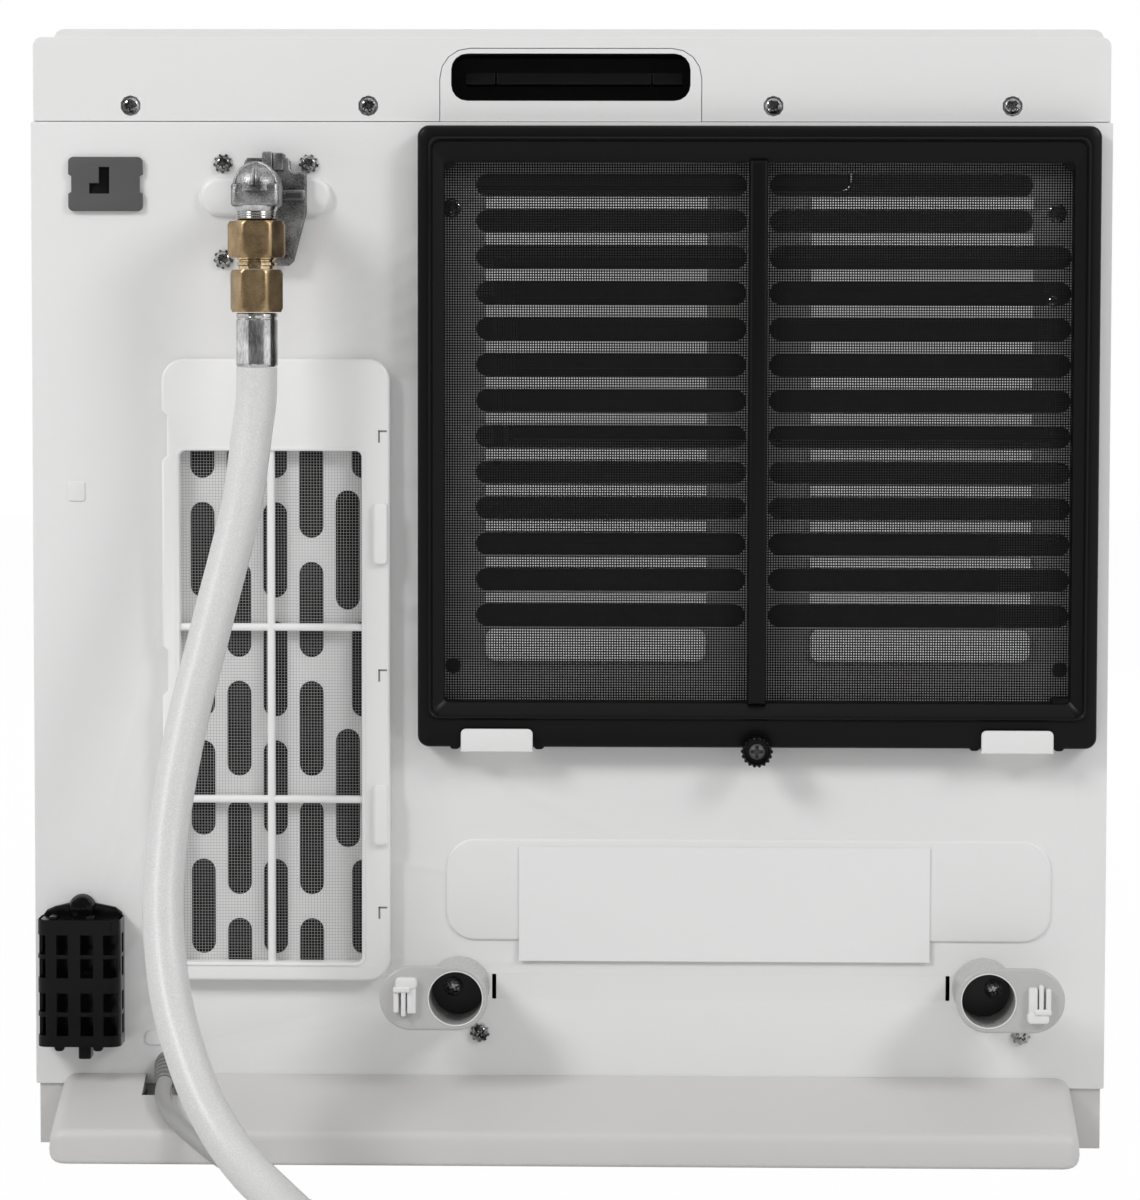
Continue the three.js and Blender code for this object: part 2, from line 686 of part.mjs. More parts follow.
function burnerWindow() {
  return {
    x: [BURNER_X[0] + BURNER_RIM.left, BURNER_X[1] - BURNER_RIM.right],
    z: [BURNER_Z[0] + BURNER_RIM.bottom, BURNER_Z[1] - BURNER_RIM.top],
  };
}

function ovalSlot(column, z, last, tall) {
  const height = tall ? OVAL_LAST.tall : OVAL.height;
  const aside = last && !tall ? OVAL_LAST.aside : 0;
  const x = BURNER_X[0] + OVAL.firstSide + column * OVAL.columnPitch + aside;
  const bottom = Math.max(z - height / 2, BURNER_Z[0] + OVAL_ABOVE_RIM);
  return roundRect([x - OVAL.width / 2, x + OVAL.width / 2], [bottom, z + height / 2], OVAL.width / 2);
}

function ovalSlots() {
  const area = burnerWindow();
  const slots = [];
  const columns = Math.floor((area.x[1] - BURNER_X[0] - OVAL.firstSide) / OVAL.columnPitch) + 1;
  for (let column = 0; column < columns; column += 1) {
    const last = column === columns - 1;
    const drop = column % 2 === 0 ? OVAL.rowPitch / 2 : OVAL.rowPitch;
    const first = area.z[0] + OVAL_FIRST_RISE - drop;
    const rows = Math.ceil((area.z[1] + OVAL.height / 2 - first) / OVAL.rowPitch);
    for (let row = 0; row < rows; row += 1) {
      slots.push(ovalSlot(column, first + row * OVAL.rowPitch, last, last && row % 2 === 1));
    }
  }
  return slots;
}

function filterTab(x) {
  const shelfTop = FAN_Z[0] - GAP;
  const lip = FAN_FILTER_DEPTH + GAP;
  const bottom = shelfTop - TAB.thickness;
  const shelf = slab(x, [-SHEET / 2, lip + TAB.thickness], [bottom, shelfTop]);
  return shelf.add(slab(x, [lip, lip + TAB.thickness], [bottom, FAN_Z[0] + TAB.lipRise]));
}

function labelEmboss() {
  const x = [FAN_X[0] + LABEL_EMBOSS.side, FAN_X[1] - LABEL_EMBOSS.right];
  return plate(roundRect(x, LABEL_EMBOSS_Z, LABEL_EMBOSS.radius), [-SHEET / 2, LABEL_EMBOSS.proud]);
}

function inletEmboss() {
  const x = [INLET_X - INLET_EMBOSS.width / 2, INLET_X + INLET_EMBOSS.width / 2];
  const z = INLET_Z - INLET_EMBOSS.below;
  const height = [z - INLET_EMBOSS.height / 2, z + INLET_EMBOSS.height / 2];
  return plate(roundRect(x, height, INLET_EMBOSS.height / 2), [-SHEET / 2, INLET_EMBOSS.rise]);
}

function snapSlot(index) {
  const side = index === 0 ? 1 : -1;
  const near = SPACER_XS[index] + side * (SPACER.tube + SNAP_SLOT.gap);
  const far = near + side * SNAP_SLOT.width;
  const z = [SPACER_Z - SNAP_SLOT.height / 2, SPACER_Z + SNAP_SLOT.height / 2];
  return slab([Math.min(near, far), Math.max(near, far)], [-SHEET - CUT, CUT], z);
}

function screwHoles() {
  const radius = SCREW_SHANK_RADIUS + GAP;
  const inlet = inletScrewPlaces().map(([x, z]) => rearHole(x, z, radius));
  const spacer = SPACER_XS.map((x) => rearHole(x, SPACER_Z + SPACER_SCREW_RISE, radius));
  return [...inlet, ...spacer];
}

function rearPanel() {
  const outline = rect([-BODY_HALF, BODY_HALF], [PANEL_BOTTOM, PANEL_TOP]);
  outline.holes.push(...grilleSlots(), ...ovalSlots());
  const tabs = [FAN_X[0] + TAB.fromSide, FAN_X[1] - TAB.fromSide - TAB.width]
    .map((x) => filterTab([x, x + TAB.width]));
  const body = joined([plate(outline, [-SHEET, 0], SLOT_STEPS), labelEmboss(), inletEmboss(), ...tabs]);
  const stub = rod(
    STUB_RADIUS + GAP,
    2 * (INLET_EMBOSS.rise + SHEET + CUT),
    new THREE.Vector3(INLET_X, REAR_Y + INLET_EMBOSS.rise + SHEET + CUT, INLET_Z),
    OUTWARD,
  );
  const thumb = rearHole(FAN_MIDDLE_X, THUMBSCREW_Z, THUMBSCREW.shaftRadius + GAP, SMALL_ROUND_STEPS);
  return cutAway(body, [stub, thumb, reliefTool(GAP), snapSlot(0), snapSlot(1), ...screwHoles()]);
}

// Side panels and top cover

function sidePanel(side) {
  const x = [side * BODY_HALF, side * (BODY_HALF - SHEET)].sort((a, b) => a - b);
  return block(x, [REAR_Y + SHEET + GAP, CABINET_FRONT_Y], [PANEL_BOTTOM, PANEL_TOP]);
}

const COVER_BOTTOM = PANEL_TOP + GAP;
const COVER_HALF = BODY_HALF - COVER_INSET;
const BEZEL_TOP = COVER_TOP - BEZEL_TOP_DROP;

function topRounded([x0, x1], [z0, z1], radius) {
  const shape = new THREE.Shape();
  shape.moveTo(x0, z0);
  shape.lineTo(x1, z0);
  shape.lineTo(x1, z1 - radius);
  shape.absarc(x1 - radius, z1 - radius, radius, 0, Math.PI / 2);
  shape.lineTo(x0 + radius, z1);
  shape.absarc(x0 + radius, z1 - radius, radius, Math.PI / 2, Math.PI);
  return shape;
}

function coverScrewPlaces() {
  const outer = BODY_HALF - COVER_SCREW_FROM_SIDE;
  const z = PANEL_TOP + COVER_SCREW_RISE;
  return [-outer, -COVER_SCREW_INNER, COVER_SCREW_INNER, outer].map((x) => [x, z]);
}

function topCover() {
  const outline = topRounded([-COVER_HALF, COVER_HALF], [COVER_BOTTOM, COVER_TOP], COVER_RADIUS);
  const y = [REAR_Y + COVER_INSET, CABINET_FRONT_Y];
  const hollow = block(
    [-COVER_HALF + COVER_WALL, COVER_HALF - COVER_WALL],
    [y[0] + COVER_WALL, y[1] - COVER_WALL],
    [COVER_BOTTOM - CUT, COVER_TOP - COVER_WALL],
  );
  const bezelX = [-BEZEL_HALF_WIDTH, BEZEL_HALF_WIDTH];
  const bezel = topRounded(bezelX, [COVER_BOTTOM - CUT, BEZEL_TOP], BEZEL_RADIUS);
  const notch = plateY(bezel, [y[0] - CUT, y[0] + COVER_WALL + GAP]);
  const screwHoleTools = coverScrewPlaces().map(([x, z]) => coverScrewHole(x, z));
  return cutAway(plateY(outline, y), [hollow, notch, ...screwHoleTools]);
}

function coverScrewHole(x, z) {
  const face = REAR_Y + COVER_INSET;
  const seat = new THREE.Vector3(x, coverScrewSeatY(), z);
  const pocket = rod(SCREW_HEAD_RADIUS + GAP, SCREW_HEAD_HEIGHT + CUT, seat, OUTWARD, SMALL_ROUND_STEPS);
  const inside = new THREE.Vector3(x, face + COVER_WALL + CUT, z);
  const through = rod(SCREW_SHANK_RADIUS + GAP, COVER_WALL + 2 * CUT, inside, OUTWARD, SMALL_ROUND_STEPS);
  return pocket.add(through);
}

function coverScrewSeatY() {
  return REAR_Y + SCREW_HEAD_HEIGHT + 2 * GAP;
}

function screw(x, headBackY, z) {
  const r = SCREW_HEAD_RADIUS;
  const profile = [
    [0, -SCREW_SHANK_LENGTH],
    [SCREW_SHANK_RADIUS, -SCREW_SHANK_LENGTH],
    [SCREW_SHANK_RADIUS, 0],
    [r, 0],
    [r, SCREW_HEAD_HEIGHT * SCREW_HEAD_SHARES.rim],
    [r * SCREW_HEAD_SHARES.shoulder, SCREW_HEAD_HEIGHT * SCREW_HEAD_SHARES.shoulderHeight],
    [0, SCREW_HEAD_HEIGHT],
  ];
  return turned(profile, new THREE.Vector3(x, headBackY, z), OUTWARD, SMALL_ROUND_STEPS);
}

function inletScrewPlaces() {
  return [
    [INLET_X - INLET_SCREW_SIDE, INLET_Z + INLET_SCREW_RISE],
    [INLET_X + INLET_SCREW_SIDE, INLET_Z + INLET_SCREW_RISE],
    [INLET_X - INLET_SCREW_SIDE, INLET_Z - INLET_SCREW_DROP],
  ];
}

// Handle

function handleOpening() {
  const bottom = COVER_BOTTOM + HANDLE_BOTTOM_RISE;
  return { x: [-HANDLE_HALF_WIDTH, HANDLE_HALF_WIDTH], z: [bottom, bottom + HANDLE_HEIGHT] };
}

function handleBezel() {
  const half = BEZEL_HALF_WIDTH - GAP;
  const outline = topRounded([-half, half], [COVER_BOTTOM, BEZEL_TOP - GAP], BEZEL_RADIUS - GAP);
  const open = handleOpening();
  outline.holes.push(roundRect(open.x, open.z, HANDLE_RADIUS));
  return plateY(outline, [REAR_Y + COVER_INSET, REAR_Y + COVER_INSET + COVER_WALL]);
}

function handleCup() {
  const open = handleOpening();
  const x = [open.x[0] - CUP_MARGIN, open.x[1] + CUP_MARGIN];
  const z = [open.z[0] - CUP_MARGIN / 2, open.z[1] + CUP_MARGIN / 2];
  const mouth = REAR_Y + COVER_INSET + COVER_WALL + GAP;
  const outer = roundRect(
    [x[0] - CUP_WALL, x[1] + CUP_WALL],
    [z[0] - CUP_WALL, z[1] + CUP_WALL],
    HANDLE_RADIUS + CUP_WALL,
  );
  const cavity = plateY(roundRect(x, z, HANDLE_RADIUS), [mouth - CUT, mouth + CUP_DEPTH - CUP_WALL]);
  return plateY(outer, [mouth, mouth + CUP_DEPTH]).subtract(cavity);
}

// Gas inlet

function inletBracket() {
  const outline = polygon([
    [INLET_X - BRACKET_LEFT, INLET_Z - BRACKET_FOOT],
    [INLET_X + BRACKET_FOOT_RIGHT, INLET_Z - BRACKET_FOOT],
    [INLET_X + BRACKET_RIGHT, INLET_Z - BRACKET_WAIST],
    [INLET_X + BRACKET_RIGHT, INLET_Z + BRACKET_STEP],
    [INLET_X + BRACKET_STEP_RIGHT, INLET_Z + BRACKET_STEP],
    [INLET_X + BRACKET_STEP_RIGHT, INLET_Z + BRACKET_TOP],
    [INLET_X - BRACKET_LEFT, INLET_Z + BRACKET_TOP],
  ]);
  const body = plate(outline, [BRACKET_BACK, BRACKET_FACE]);
  const lugX = [INLET_X - BRACKET_LEFT / 2, INLET_X + BRACKET_LEFT * BRACKET_LUG_SHARE];
  const lugZ = [INLET_Z + BRACKET_TOP - BRACKET_LUG_RISE / 2, INLET_Z + BRACKET_TOP + BRACKET_LUG_RISE / 2];
  const lug = slab(lugX, [BRACKET_BACK, BRACKET_FACE + BRACKET_LUG_RISE], lugZ);
  const at = new THREE.Vector3(INLET_X, outwardY(BRACKET_BACK - CUT), INLET_Z);
  return body.add(lug).subtract(rod(STUB_RADIUS + GAP, BRACKET_THICKNESS + 2 * CUT, at, OUTWARD));
}

function gasElbow() {
  const barrel = turned(
    [
      [0, 0],
      [STUB_RADIUS, 0],
      [STUB_RADIUS, elbowStubLength() + BRACKET_FACE + GAP],
      [BARREL_RADIUS, elbowStubLength() + BRACKET_FACE + GAP],
      [BARREL_RADIUS, elbowStubLength() + HOSE_STANDOFF],
      [0, elbowStubLength() + HOSE_STANDOFF],
    ],
    new THREE.Vector3(INLET_X, REAR_Y + elbowStubLength(), INLET_Z),
    OUTWARD,
  );
  const dome = new THREE.SphereGeometry(BARREL_RADIUS, ROUND_STEPS, ROUND_STEPS / 2);
  dome.translate(INLET_X, outwardY(HOSE_STANDOFF), INLET_Z);
  const half = ELBOW_BLOCK.half;
  const body = slab(
    [INLET_X - half, INLET_X + half],
    [HOSE_STANDOFF - half, HOSE_STANDOFF + half],
    [INLET_Z - ELBOW_BLOCK.bottom, INLET_Z + ELBOW_BLOCK.top],
  );
  const collarAt = new THREE.Vector3(INLET_X, outwardY(HOSE_STANDOFF), INLET_Z - ELBOW_BLOCK.bottom + CUT);
  const collar = rod(COLLAR_RADIUS, COLLAR_HEIGHT + CUT, collarAt, DOWN);
  return joined([barrel, toSolid(dome), body, collar]);
}

function elbowStubLength() {
  return SHEET + VALVE_INSET - GAP;
}

function onHoseAxis(z) {
  return new THREE.Vector3(INLET_X, outwardY(HOSE_STANDOFF), z);
}

const COLLAR_END = INLET_Z - ELBOW_BLOCK.bottom - COLLAR_HEIGHT;
const UNION_NUT_TOP = COLLAR_END - GAP;
const TAIL_NUT_TOP = UNION_NUT_TOP - UNION_NUT.height - UNION_NUT.neckHeight - GAP;
const FERRULE_TOP = TAIL_NUT_TOP - TAIL_NUT.height - GAP;

function hexPrism(radius, height, top) {
  return rod(radius, height, onHoseAxis(top), DOWN, HEX_SIDES);
}

function unionNut() {
  const neckTop = onHoseAxis(UNION_NUT_TOP - UNION_NUT.height / 2);
  const neck = rod(UNION_NUT.neckRadius, UNION_NUT.height / 2 + UNION_NUT.neckHeight, neckTop, DOWN);
  return hexPrism(UNION_NUT.radius, UNION_NUT.height, UNION_NUT_TOP).add(neck);
}

// Gas type plate

function gasTypePlate() {
  const left = -BODY_HALF + TYPE_PLATE.fromLeft;
  const top = PANEL_TOP - TYPE_PLATE.fromTop;
  const outline = roundRect(
    [left, left + TYPE_PLATE.width],
    [top - TYPE_PLATE.height, top],
    TYPE_PLATE.radius,
  );
  const right = left + TYPE_WINDOW.left + TYPE_WINDOW.arm;
  const bottom = top - TYPE_WINDOW.bottom;
  outline.holes.push(polygon([
    [left + TYPE_WINDOW.left, bottom],
    [right, bottom],
    [right, top - TYPE_WINDOW.top],
    [right - TYPE_WINDOW.width, top - TYPE_WINDOW.top],
    [right - TYPE_WINDOW.width, bottom + TYPE_WINDOW.width],
    [left + TYPE_WINDOW.left, bottom + TYPE_WINDOW.width],
  ]));
  return plate(outline, [GAP, GAP + TYPE_PLATE.rise]);
}

// Filters

function burnerRows() {
  const area = burnerWindow();
  const clear = area.z[1] - area.z[0] - BURNER_BAR * (BURNER_ROW_SHARES.length - 1);
  let z = area.z[0];
  return BURNER_ROW_SHARES.map((share) => {
    const row = [z, z + clear * share];
    z = row[1] + BURNER_BAR;
    return row;
  });
}

function burnerFilterFrame() {
  const area = burnerWindow();
  const through = [GAP - CUT, BURNER_FILTER_DEPTH + CUT];
  const middle = (area.x[0] + area.x[1]) / 2;
  const columns = [[area.x[0], middle - BURNER_BAR / 2], [middle + BURNER_BAR / 2, area.x[1]]];
  const windows = burnerRows().flatMap((row) => columns.map((column) => slab(column, through, row)));
  const notches = [BURNER_NOTCH.firstDrop, BURNER_NOTCH.secondDrop].map((drop) => slab(
    [BURNER_X[0] - CUT, BURNER_X[0] + BURNER_NOTCH.depth],
    through,
    [BURNER_Z[1] - drop - BURNER_NOTCH.height, BURNER_Z[1] - drop],
  ));
  const solid = plate(roundRect(BURNER_X, BURNER_Z, BURNER_FILTER_RADIUS), [GAP, BURNER_FILTER_DEPTH]);
  const frame = cutAway(solid, [...windows, ...notches, netSeat(area, NET_SEAT)]);
  return joined([frame, ...[GRIP.firstDrop, GRIP.secondDrop].map(grip)]);
}

function netSeat(area, depth) {
  return slab(
    [area.x[0] - NET_LEDGE, area.x[1] + NET_LEDGE],
    [GAP - CUT, depth],
    [area.z[0] - NET_LEDGE, area.z[1] + NET_LEDGE],
  );
}

function grip(drop) {
  const x = [BURNER_X[1] - GRIP.inset - GRIP.width, BURNER_X[1] - GRIP.inset];
  const z = [BURNER_Z[1] - drop - GRIP.height, BURNER_Z[1] - drop];
  return slab(x, [BURNER_FILTER_DEPTH / 2, BURNER_FILTER_DEPTH + GRIP.rise], z);
}

function net([x0, x1], [z0, z1], cell, [low, high]) {
  const columns = Math.round((x1 - x0) / cell);
  const rows = Math.round((z1 - z0) / cell);
  const stepX = (x1 - x0 - NET_STRAND) / columns;
  const stepZ = (z1 - z0 - NET_STRAND) / rows;
  const meshes = [];
  for (let i = 0; i < columns; i += 1) {
    for (let k = 0; k < rows; k += 1) {
      const x = x0 + i * stepX;
      const z = z0 + k * stepZ;
      meshes.push(slab([x + NET_STRAND, x + stepX], [low - CUT, high + CUT], [z + NET_STRAND, z + stepZ]));
    }
  }
  return cutAway(slab([x0, x1], [low, high], [z0, z1]), meshes);
}

function burnerFilterNet() {
  const area = burnerWindow();
  const edge = NET_LEDGE - GAP;
  const depth = [NET_SEAT - GAP - NET_THICKNESS, NET_SEAT - GAP];
  return net(
    [area.x[0] - edge, area.x[1] + edge],
    [area.z[0] - edge, area.z[1] + edge],
    BURNER_NET_CELL,
    depth,
  );
}

function fanWindow() {
  return {
    x: [FAN_X[0] + FAN_RIM.side, FAN_X[1] - FAN_RIM.side],
    z: [FAN_Z[0] + FAN_RIM.bottom, FAN_Z[1] - FAN_RIM.top],
  };
}

function fanFilterFrame() {
  const area = fanWindow();
  const through = [GAP - CUT, FAN_FILTER_DEPTH + CUT];
  const windows = [
    slab([area.x[0], FAN_MIDDLE_X - FAN_BAR / 2], through, area.z),
    slab([FAN_MIDDLE_X + FAN_BAR / 2, area.x[1]], through, area.z),
  ];
  const at = new THREE.Vector3(FAN_MIDDLE_X, outwardY(GAP - CUT), THUMBSCREW_Z);
  const notchRadius = THUMBSCREW.shaftRadius + THUMBSCREW_CLEARANCE;
  const notch = rod(notchRadius, FAN_FILTER_DEPTH + 2 * CUT, at, OUTWARD, SMALL_ROUND_STEPS);
  const solid = plate(roundRect(FAN_X, FAN_Z, FAN_FILTER_RADIUS), [GAP, FAN_FILTER_DEPTH]);
  return cutAway(solid, [...windows, netSeat(area, FAN_NET_SEAT), notch]);
}

function fanFilterNet() {
  const area = fanWindow();
  const edge = NET_LEDGE - GAP;
  const depth = [FAN_NET_SEAT - GAP - NET_THICKNESS, FAN_NET_SEAT - GAP];
  return net(
    [area.x[0] - edge, area.x[1] + edge],
    [area.z[0] - edge, area.z[1] + edge],
    FAN_NET_CELL,
    depth,
  );
}

function thumbscrew() {
  const shape = new THREE.Shape();
  const steps = KNURL.teeth * 2;
  for (let k = 0; k < steps; k += 1) {
    const radius = THUMBSCREW.radius - (k % 2 === 0 ? 0 : KNURL.depth);
    const angle = (k / steps) * Math.PI * 2;
    const x = FAN_MIDDLE_X + radius * Math.cos(angle);
    const z = THUMBSCREW_Z + radius * Math.sin(angle);
    if (k === 0) {
      shape.moveTo(x, z);
    } else {
      shape.lineTo(x, z);
    }
  }
  const under = FAN_FILTER_DEPTH + GAP;
  const head = plate(shape, [under, under + THUMBSCREW.length]);
  const length = THUMBSCREW.shaftLength + under + THUMBSCREW.length / 2;
  const at = new THREE.Vector3(FAN_MIDDLE_X, REAR_Y + THUMBSCREW.shaftLength, THUMBSCREW_Z);
  return head.add(rod(THUMBSCREW.shaftRadius, length, at, OUTWARD, SMALL_ROUND_STEPS));
}

// Label

function labelPlate() {
  const x = [FAN_X[0] + LABEL_EMBOSS.side + LABEL.left, FAN_X[1] - LABEL_EMBOSS.right - LABEL.right];
  const top = LABEL_EMBOSS_Z[1] - LABEL.drop;
  const back = LABEL_EMBOSS.proud + GAP;
  return plate(rect(x, [top - LABEL.height, top]), [back, back + LABEL.thickness]);
}

// Wall spacers

function spacer(index) {
  const x = SPACER_XS[index];
  const side = index === 0 ? -1 : 1;
  const far = x + side * SPACER_FLANGE.reach;
  const profile = [[0, GAP], [SPACER.tube, GAP], [SPACER.tube, SPACER.depth], [0, SPACER.depth]];
  const tubeBody = turned(profile, new THREE.Vector3(x, REAR_Y, SPACER_Z), OUTWARD);
  const ends = [x, far].sort((a, b) => a - b);
  const flangeShape = roundRect(
    [ends[0] - SPACER_FLANGE.radius, ends[1] + SPACER_FLANGE.radius],
    [SPACER_Z - SPACER_FLANGE.radius, SPACER_Z + SPACER_FLANGE.radius],
    SPACER_FLANGE.radius,
  );
  const flange = plate(flangeShape, [SPACER.depth - SPACER_FLANGE.depth, SPACER.depth], FLANGE_STEPS);
  const boreAt = new THREE.Vector3(x, outwardY(SPACER.floor), SPACER_Z);
  const bore = rod(SPACER.bore, SPACER.depth, boreAt, OUTWARD);
  const holeAt = new THREE.Vector3(x, outwardY(-CUT), SPACER_Z + SPACER_SCREW_RISE);
  const hole = rod(SCREW_SHANK_RADIUS + GAP, SPACER.depth, holeAt, OUTWARD, SMALL_ROUND_STEPS);
  return tubeBody.add(flange).subtract(bore).subtract(hole);
}

// Room sensor

function cageWindows(left, bottom) {
  const windows = [];
  for (let row = 0; row < CAGE_ROWS; row += 1) {
    const bar = row < CAGE_ROWS / 2 ? 0 : CAGE_MIDDLE_BAR;
    const z = bottom + CAGE_WINDOW.fromBottom + row * CAGE_WINDOW.row + bar;
    const rise = [z, z + CAGE_WINDOW.height];
    for (let column = 0; column < CAGE_COLUMNS; column += 1) {
      const x = left + CAGE_WINDOW.fromLeft + column * CAGE_WINDOW.column;
      windows.push(slab([x, x + CAGE_WINDOW.width], [CAGE.depth - 2 * CAGE.wall, CAGE.depth + CUT], rise));
    }
    windows.push(slab([left - CUT, left + CUT], [CAGE.depth / 2, CAGE.depth - CAGE.radius / 2], rise));
  }
  return windows;
}

function sensorCage() {
  const left = -BODY_HALF + CAGE.fromLeft;
  const bottom = PANEL_BOTTOM + CAGE.rise;
  const x = [left, left + CAGE.width];
  const z = [bottom, bottom + CAGE.height];
  const inner = roundRect(
    [x[0] + CAGE.wall, x[1] - CAGE.wall],
    [z[0] + CAGE.wall, z[1] - CAGE.wall],
    CAGE.radius - CAGE.wall,
  );
  const shell = plate(roundRect(x, z, CAGE.radius), [GAP, CAGE.depth])
    .subtract(plate(inner, [GAP - CUT, CAGE.depth - CAGE.wall]));
  const earX = [left + CAGE_EAR.fromLeft, left + CAGE_EAR.fromLeft + CAGE_EAR.width];
  const earShape = roundRect(earX, [z[1] - CAGE_EAR.radius, z[1] + CAGE_EAR.rise], CAGE_EAR.radius);
  const ear = plate(earShape, [GAP, CAGE.depth - CAGE.radius])
    .subtract(plate(inner, [GAP - CUT, CAGE.depth - CAGE.wall]));
  const latchX = [left + CAGE_LATCH.fromLeft, left + CAGE_LATCH.fromLeft + CAGE_LATCH.width];
  const latch = slab(latchX, [GAP, CAGE_LATCH.depth], [bottom - CAGE_LATCH.drop, bottom + CAGE.wall / 2]);
  return cutAway(joined([shell, ear, latch]), cageWindows(left, bottom));
}

function roomThermistor() {
  const x = -BODY_HALF + CAGE.fromLeft + CAGE.width / 2;
  const z = PANEL_BOTTOM + CAGE.rise + CAGE.height / 2;
  const foot = slab(
    [x - THERMISTOR.foot / 2, x + THERMISTOR.foot / 2],
    [GAP, GAP + SHEET],
    [z - THERMISTOR.length / 2, z + THERMISTOR.length / 2],
  );
  const bead = new THREE.Vector3(x, outwardY(GAP), z);
  const stem = rod(THERMISTOR.radius, CAGE.depth / 2, bead, OUTWARD, SMALL_ROUND_STEPS);
  return foot.add(stem);
}

// Front

function frontPanel() {
  const half = FRONT_WIDTH / 2;
  const back = CABINET_FRONT_Y + GAP;
  const outline = roundRect([-half, half], [FRONT_BOTTOM, FRONT_TOP], FRONT_CORNER);
  const straight = plateY(outline, [back, FRONT_Y - FRONT_EDGE_BEVEL]);
  const bevelled = frontBevel(half);
  const hollow = block(
    [-half + MOULDING, half - MOULDING],
    [back + MOULDING, FRONT_Y - MOULDING],
    [FRONT_BOTTOM + MOULDING, FRONT_TOP - MOULDING],
  );
  const rearWindow = block(
    [-half + FRONT_FLANGE, half - FRONT_FLANGE],
    [back - CUT, back + MOULDING + CUT],
    [FRONT_BOTTOM + FRONT_FLANGE + CUT, COVER_TOP - COVER_WALL],
  );
  const outlet = roundRect([-OUTLET_HALF_WIDTH, OUTLET_HALF_WIDTH], [OUTLET_BOTTOM, OUTLET_TOP], OUTLET_RADIUS);
  const strip = roundRect([-CONTROL_HALF_WIDTH, CONTROL_HALF_WIDTH], CONTROL_Z, CONTROL_RADIUS);
  const wall = [FRONT_Y - MOULDING - CUT, FRONT_Y + CUT];
  return cutAway(straight.add(bevelled), [hollow, rearWindow, plateY(outlet, wall), plateY(strip, wall)]);
}

function frontBevel(half) {
  const inset = FRONT_EDGE_BEVEL;
  const low = [-half, half, FRONT_BOTTOM, FRONT_TOP];
  const high = [-half + inset, half - inset, FRONT_BOTTOM + inset, FRONT_TOP - inset];
  const y = [FRONT_Y - inset - GAP, FRONT_Y];
  const corners = [[low, y[0]], [high, y[1]]].flatMap(([side, at]) => [
    [side[0], at, side[2]],
    [side[1], at, side[2]],
    [side[1], at, side[3]],
    [side[0], at, side[3]],
  ]);
  const geometry = new THREE.BufferGeometry();
  geometry.setAttribute('position', new THREE.Float32BufferAttribute(corners.flat(), 3));
  const faces = [0, 1, 2, 0, 2, 3, 4, 6, 5, 4, 7, 6];
  for (let k = 0; k < 4; k += 1) {
    const next = (k + 1) % 4;
    faces.push(k, k + 4, next, next, k + 4, next + 4);
  }
  geometry.setIndex(faces);
  const outline = roundRect([-half, half], [FRONT_BOTTOM, FRONT_TOP], FRONT_CORNER);
  return toSolid(geometry).intersect(plateY(outline, [y[0] - CUT, y[1] + CUT]));
}

const CONTROL_TOP = FRONT_TOP - CONTROL_BELOW_TOP;
const CONTROL_Z = [CONTROL_TOP - CONTROL_HEIGHT, CONTROL_TOP];
const CONTROL_MIDDLE_Z = (CONTROL_Z[0] + CONTROL_Z[1]) / 2;
const CONTROL_FACE_Y = FRONT_Y - GAP;
const CONTROL_BACK_Y = CONTROL_FACE_Y - CONTROL_PLATE;
const BUTTON_XS = [-BUTTON_OUTER_SHARE, -BUTTON_INNER_SHARE, BUTTON_INNER_SHARE, BUTTON_OUTER_SHARE]
  .map((share) => share * CONTROL_HALF_WIDTH);
const BUTTON_BACK_Y = CONTROL_BACK_Y - GAP - BUTTON_FLANGE_HEIGHT;
const CONTROL_BOARD_Y = BUTTON_BACK_Y - BUTTON_TRAVEL - GAP - SWITCH_HEIGHT;

function outletGrille() {
  const x = [-OUTLET_HALF_WIDTH + GAP, OUTLET_HALF_WIDTH - GAP];
  const z = [OUTLET_BOTTOM + GAP, OUTLET_TOP - GAP];
  const face = FRONT_Y - OUTLET_RECESS;
  const y = [face - OUTLET_DEPTH, face];
  const stepX = (x[1] - x[0] - 2 * OUTLET_RIM + OUTLET_RIB) / OUTLET_COLUMNS;
  const stepZ = (z[1] - z[0] - 2 * OUTLET_RIM + OUTLET_RIB) / OUTLET_ROWS;
  const openings = [];
  for (let i = 0; i < OUTLET_COLUMNS; i += 1) {
    for (let k = 0; k < OUTLET_ROWS; k += 1) {
      const left = x[0] + OUTLET_RIM + i * stepX;
      const bottom = z[0] + OUTLET_RIM + k * stepZ;
      const width = [left, left + stepX - OUTLET_RIB];
      openings.push(block(width, [y[0] - CUT, y[1] + CUT], [bottom, bottom + stepZ - OUTLET_RIB]));
    }
  }
  return cutAway(plateY(roundRect(x, z, OUTLET_RADIUS - GAP), y), openings);
}

function controlPanel() {
  const x = [-CONTROL_HALF_WIDTH + GAP, CONTROL_HALF_WIDTH - GAP];
  const outline = roundRect(x, [CONTROL_Z[0] + GAP, CONTROL_Z[1] - GAP], CONTROL_RADIUS - GAP);
  const display = block(
    [-DISPLAY_HALF_WIDTH, DISPLAY_HALF_WIDTH],
    [CONTROL_BACK_Y - CUT, CONTROL_FACE_Y + CUT],
    [CONTROL_MIDDLE_Z - DISPLAY_HEIGHT / 2, CONTROL_MIDDLE_Z + DISPLAY_HEIGHT / 2],
  );
  const holes = BUTTON_XS.map((buttonX) => {
    const at = new THREE.Vector3(buttonX, CONTROL_BACK_Y - CUT, CONTROL_MIDDLE_Z);
    return rod(BUTTON_RADIUS + GAP, CONTROL_PLATE + 2 * CUT, at, FORWARD);
  });
  return cutAway(plateY(outline, [CONTROL_BACK_Y, CONTROL_FACE_Y]), [display, ...holes]);
}

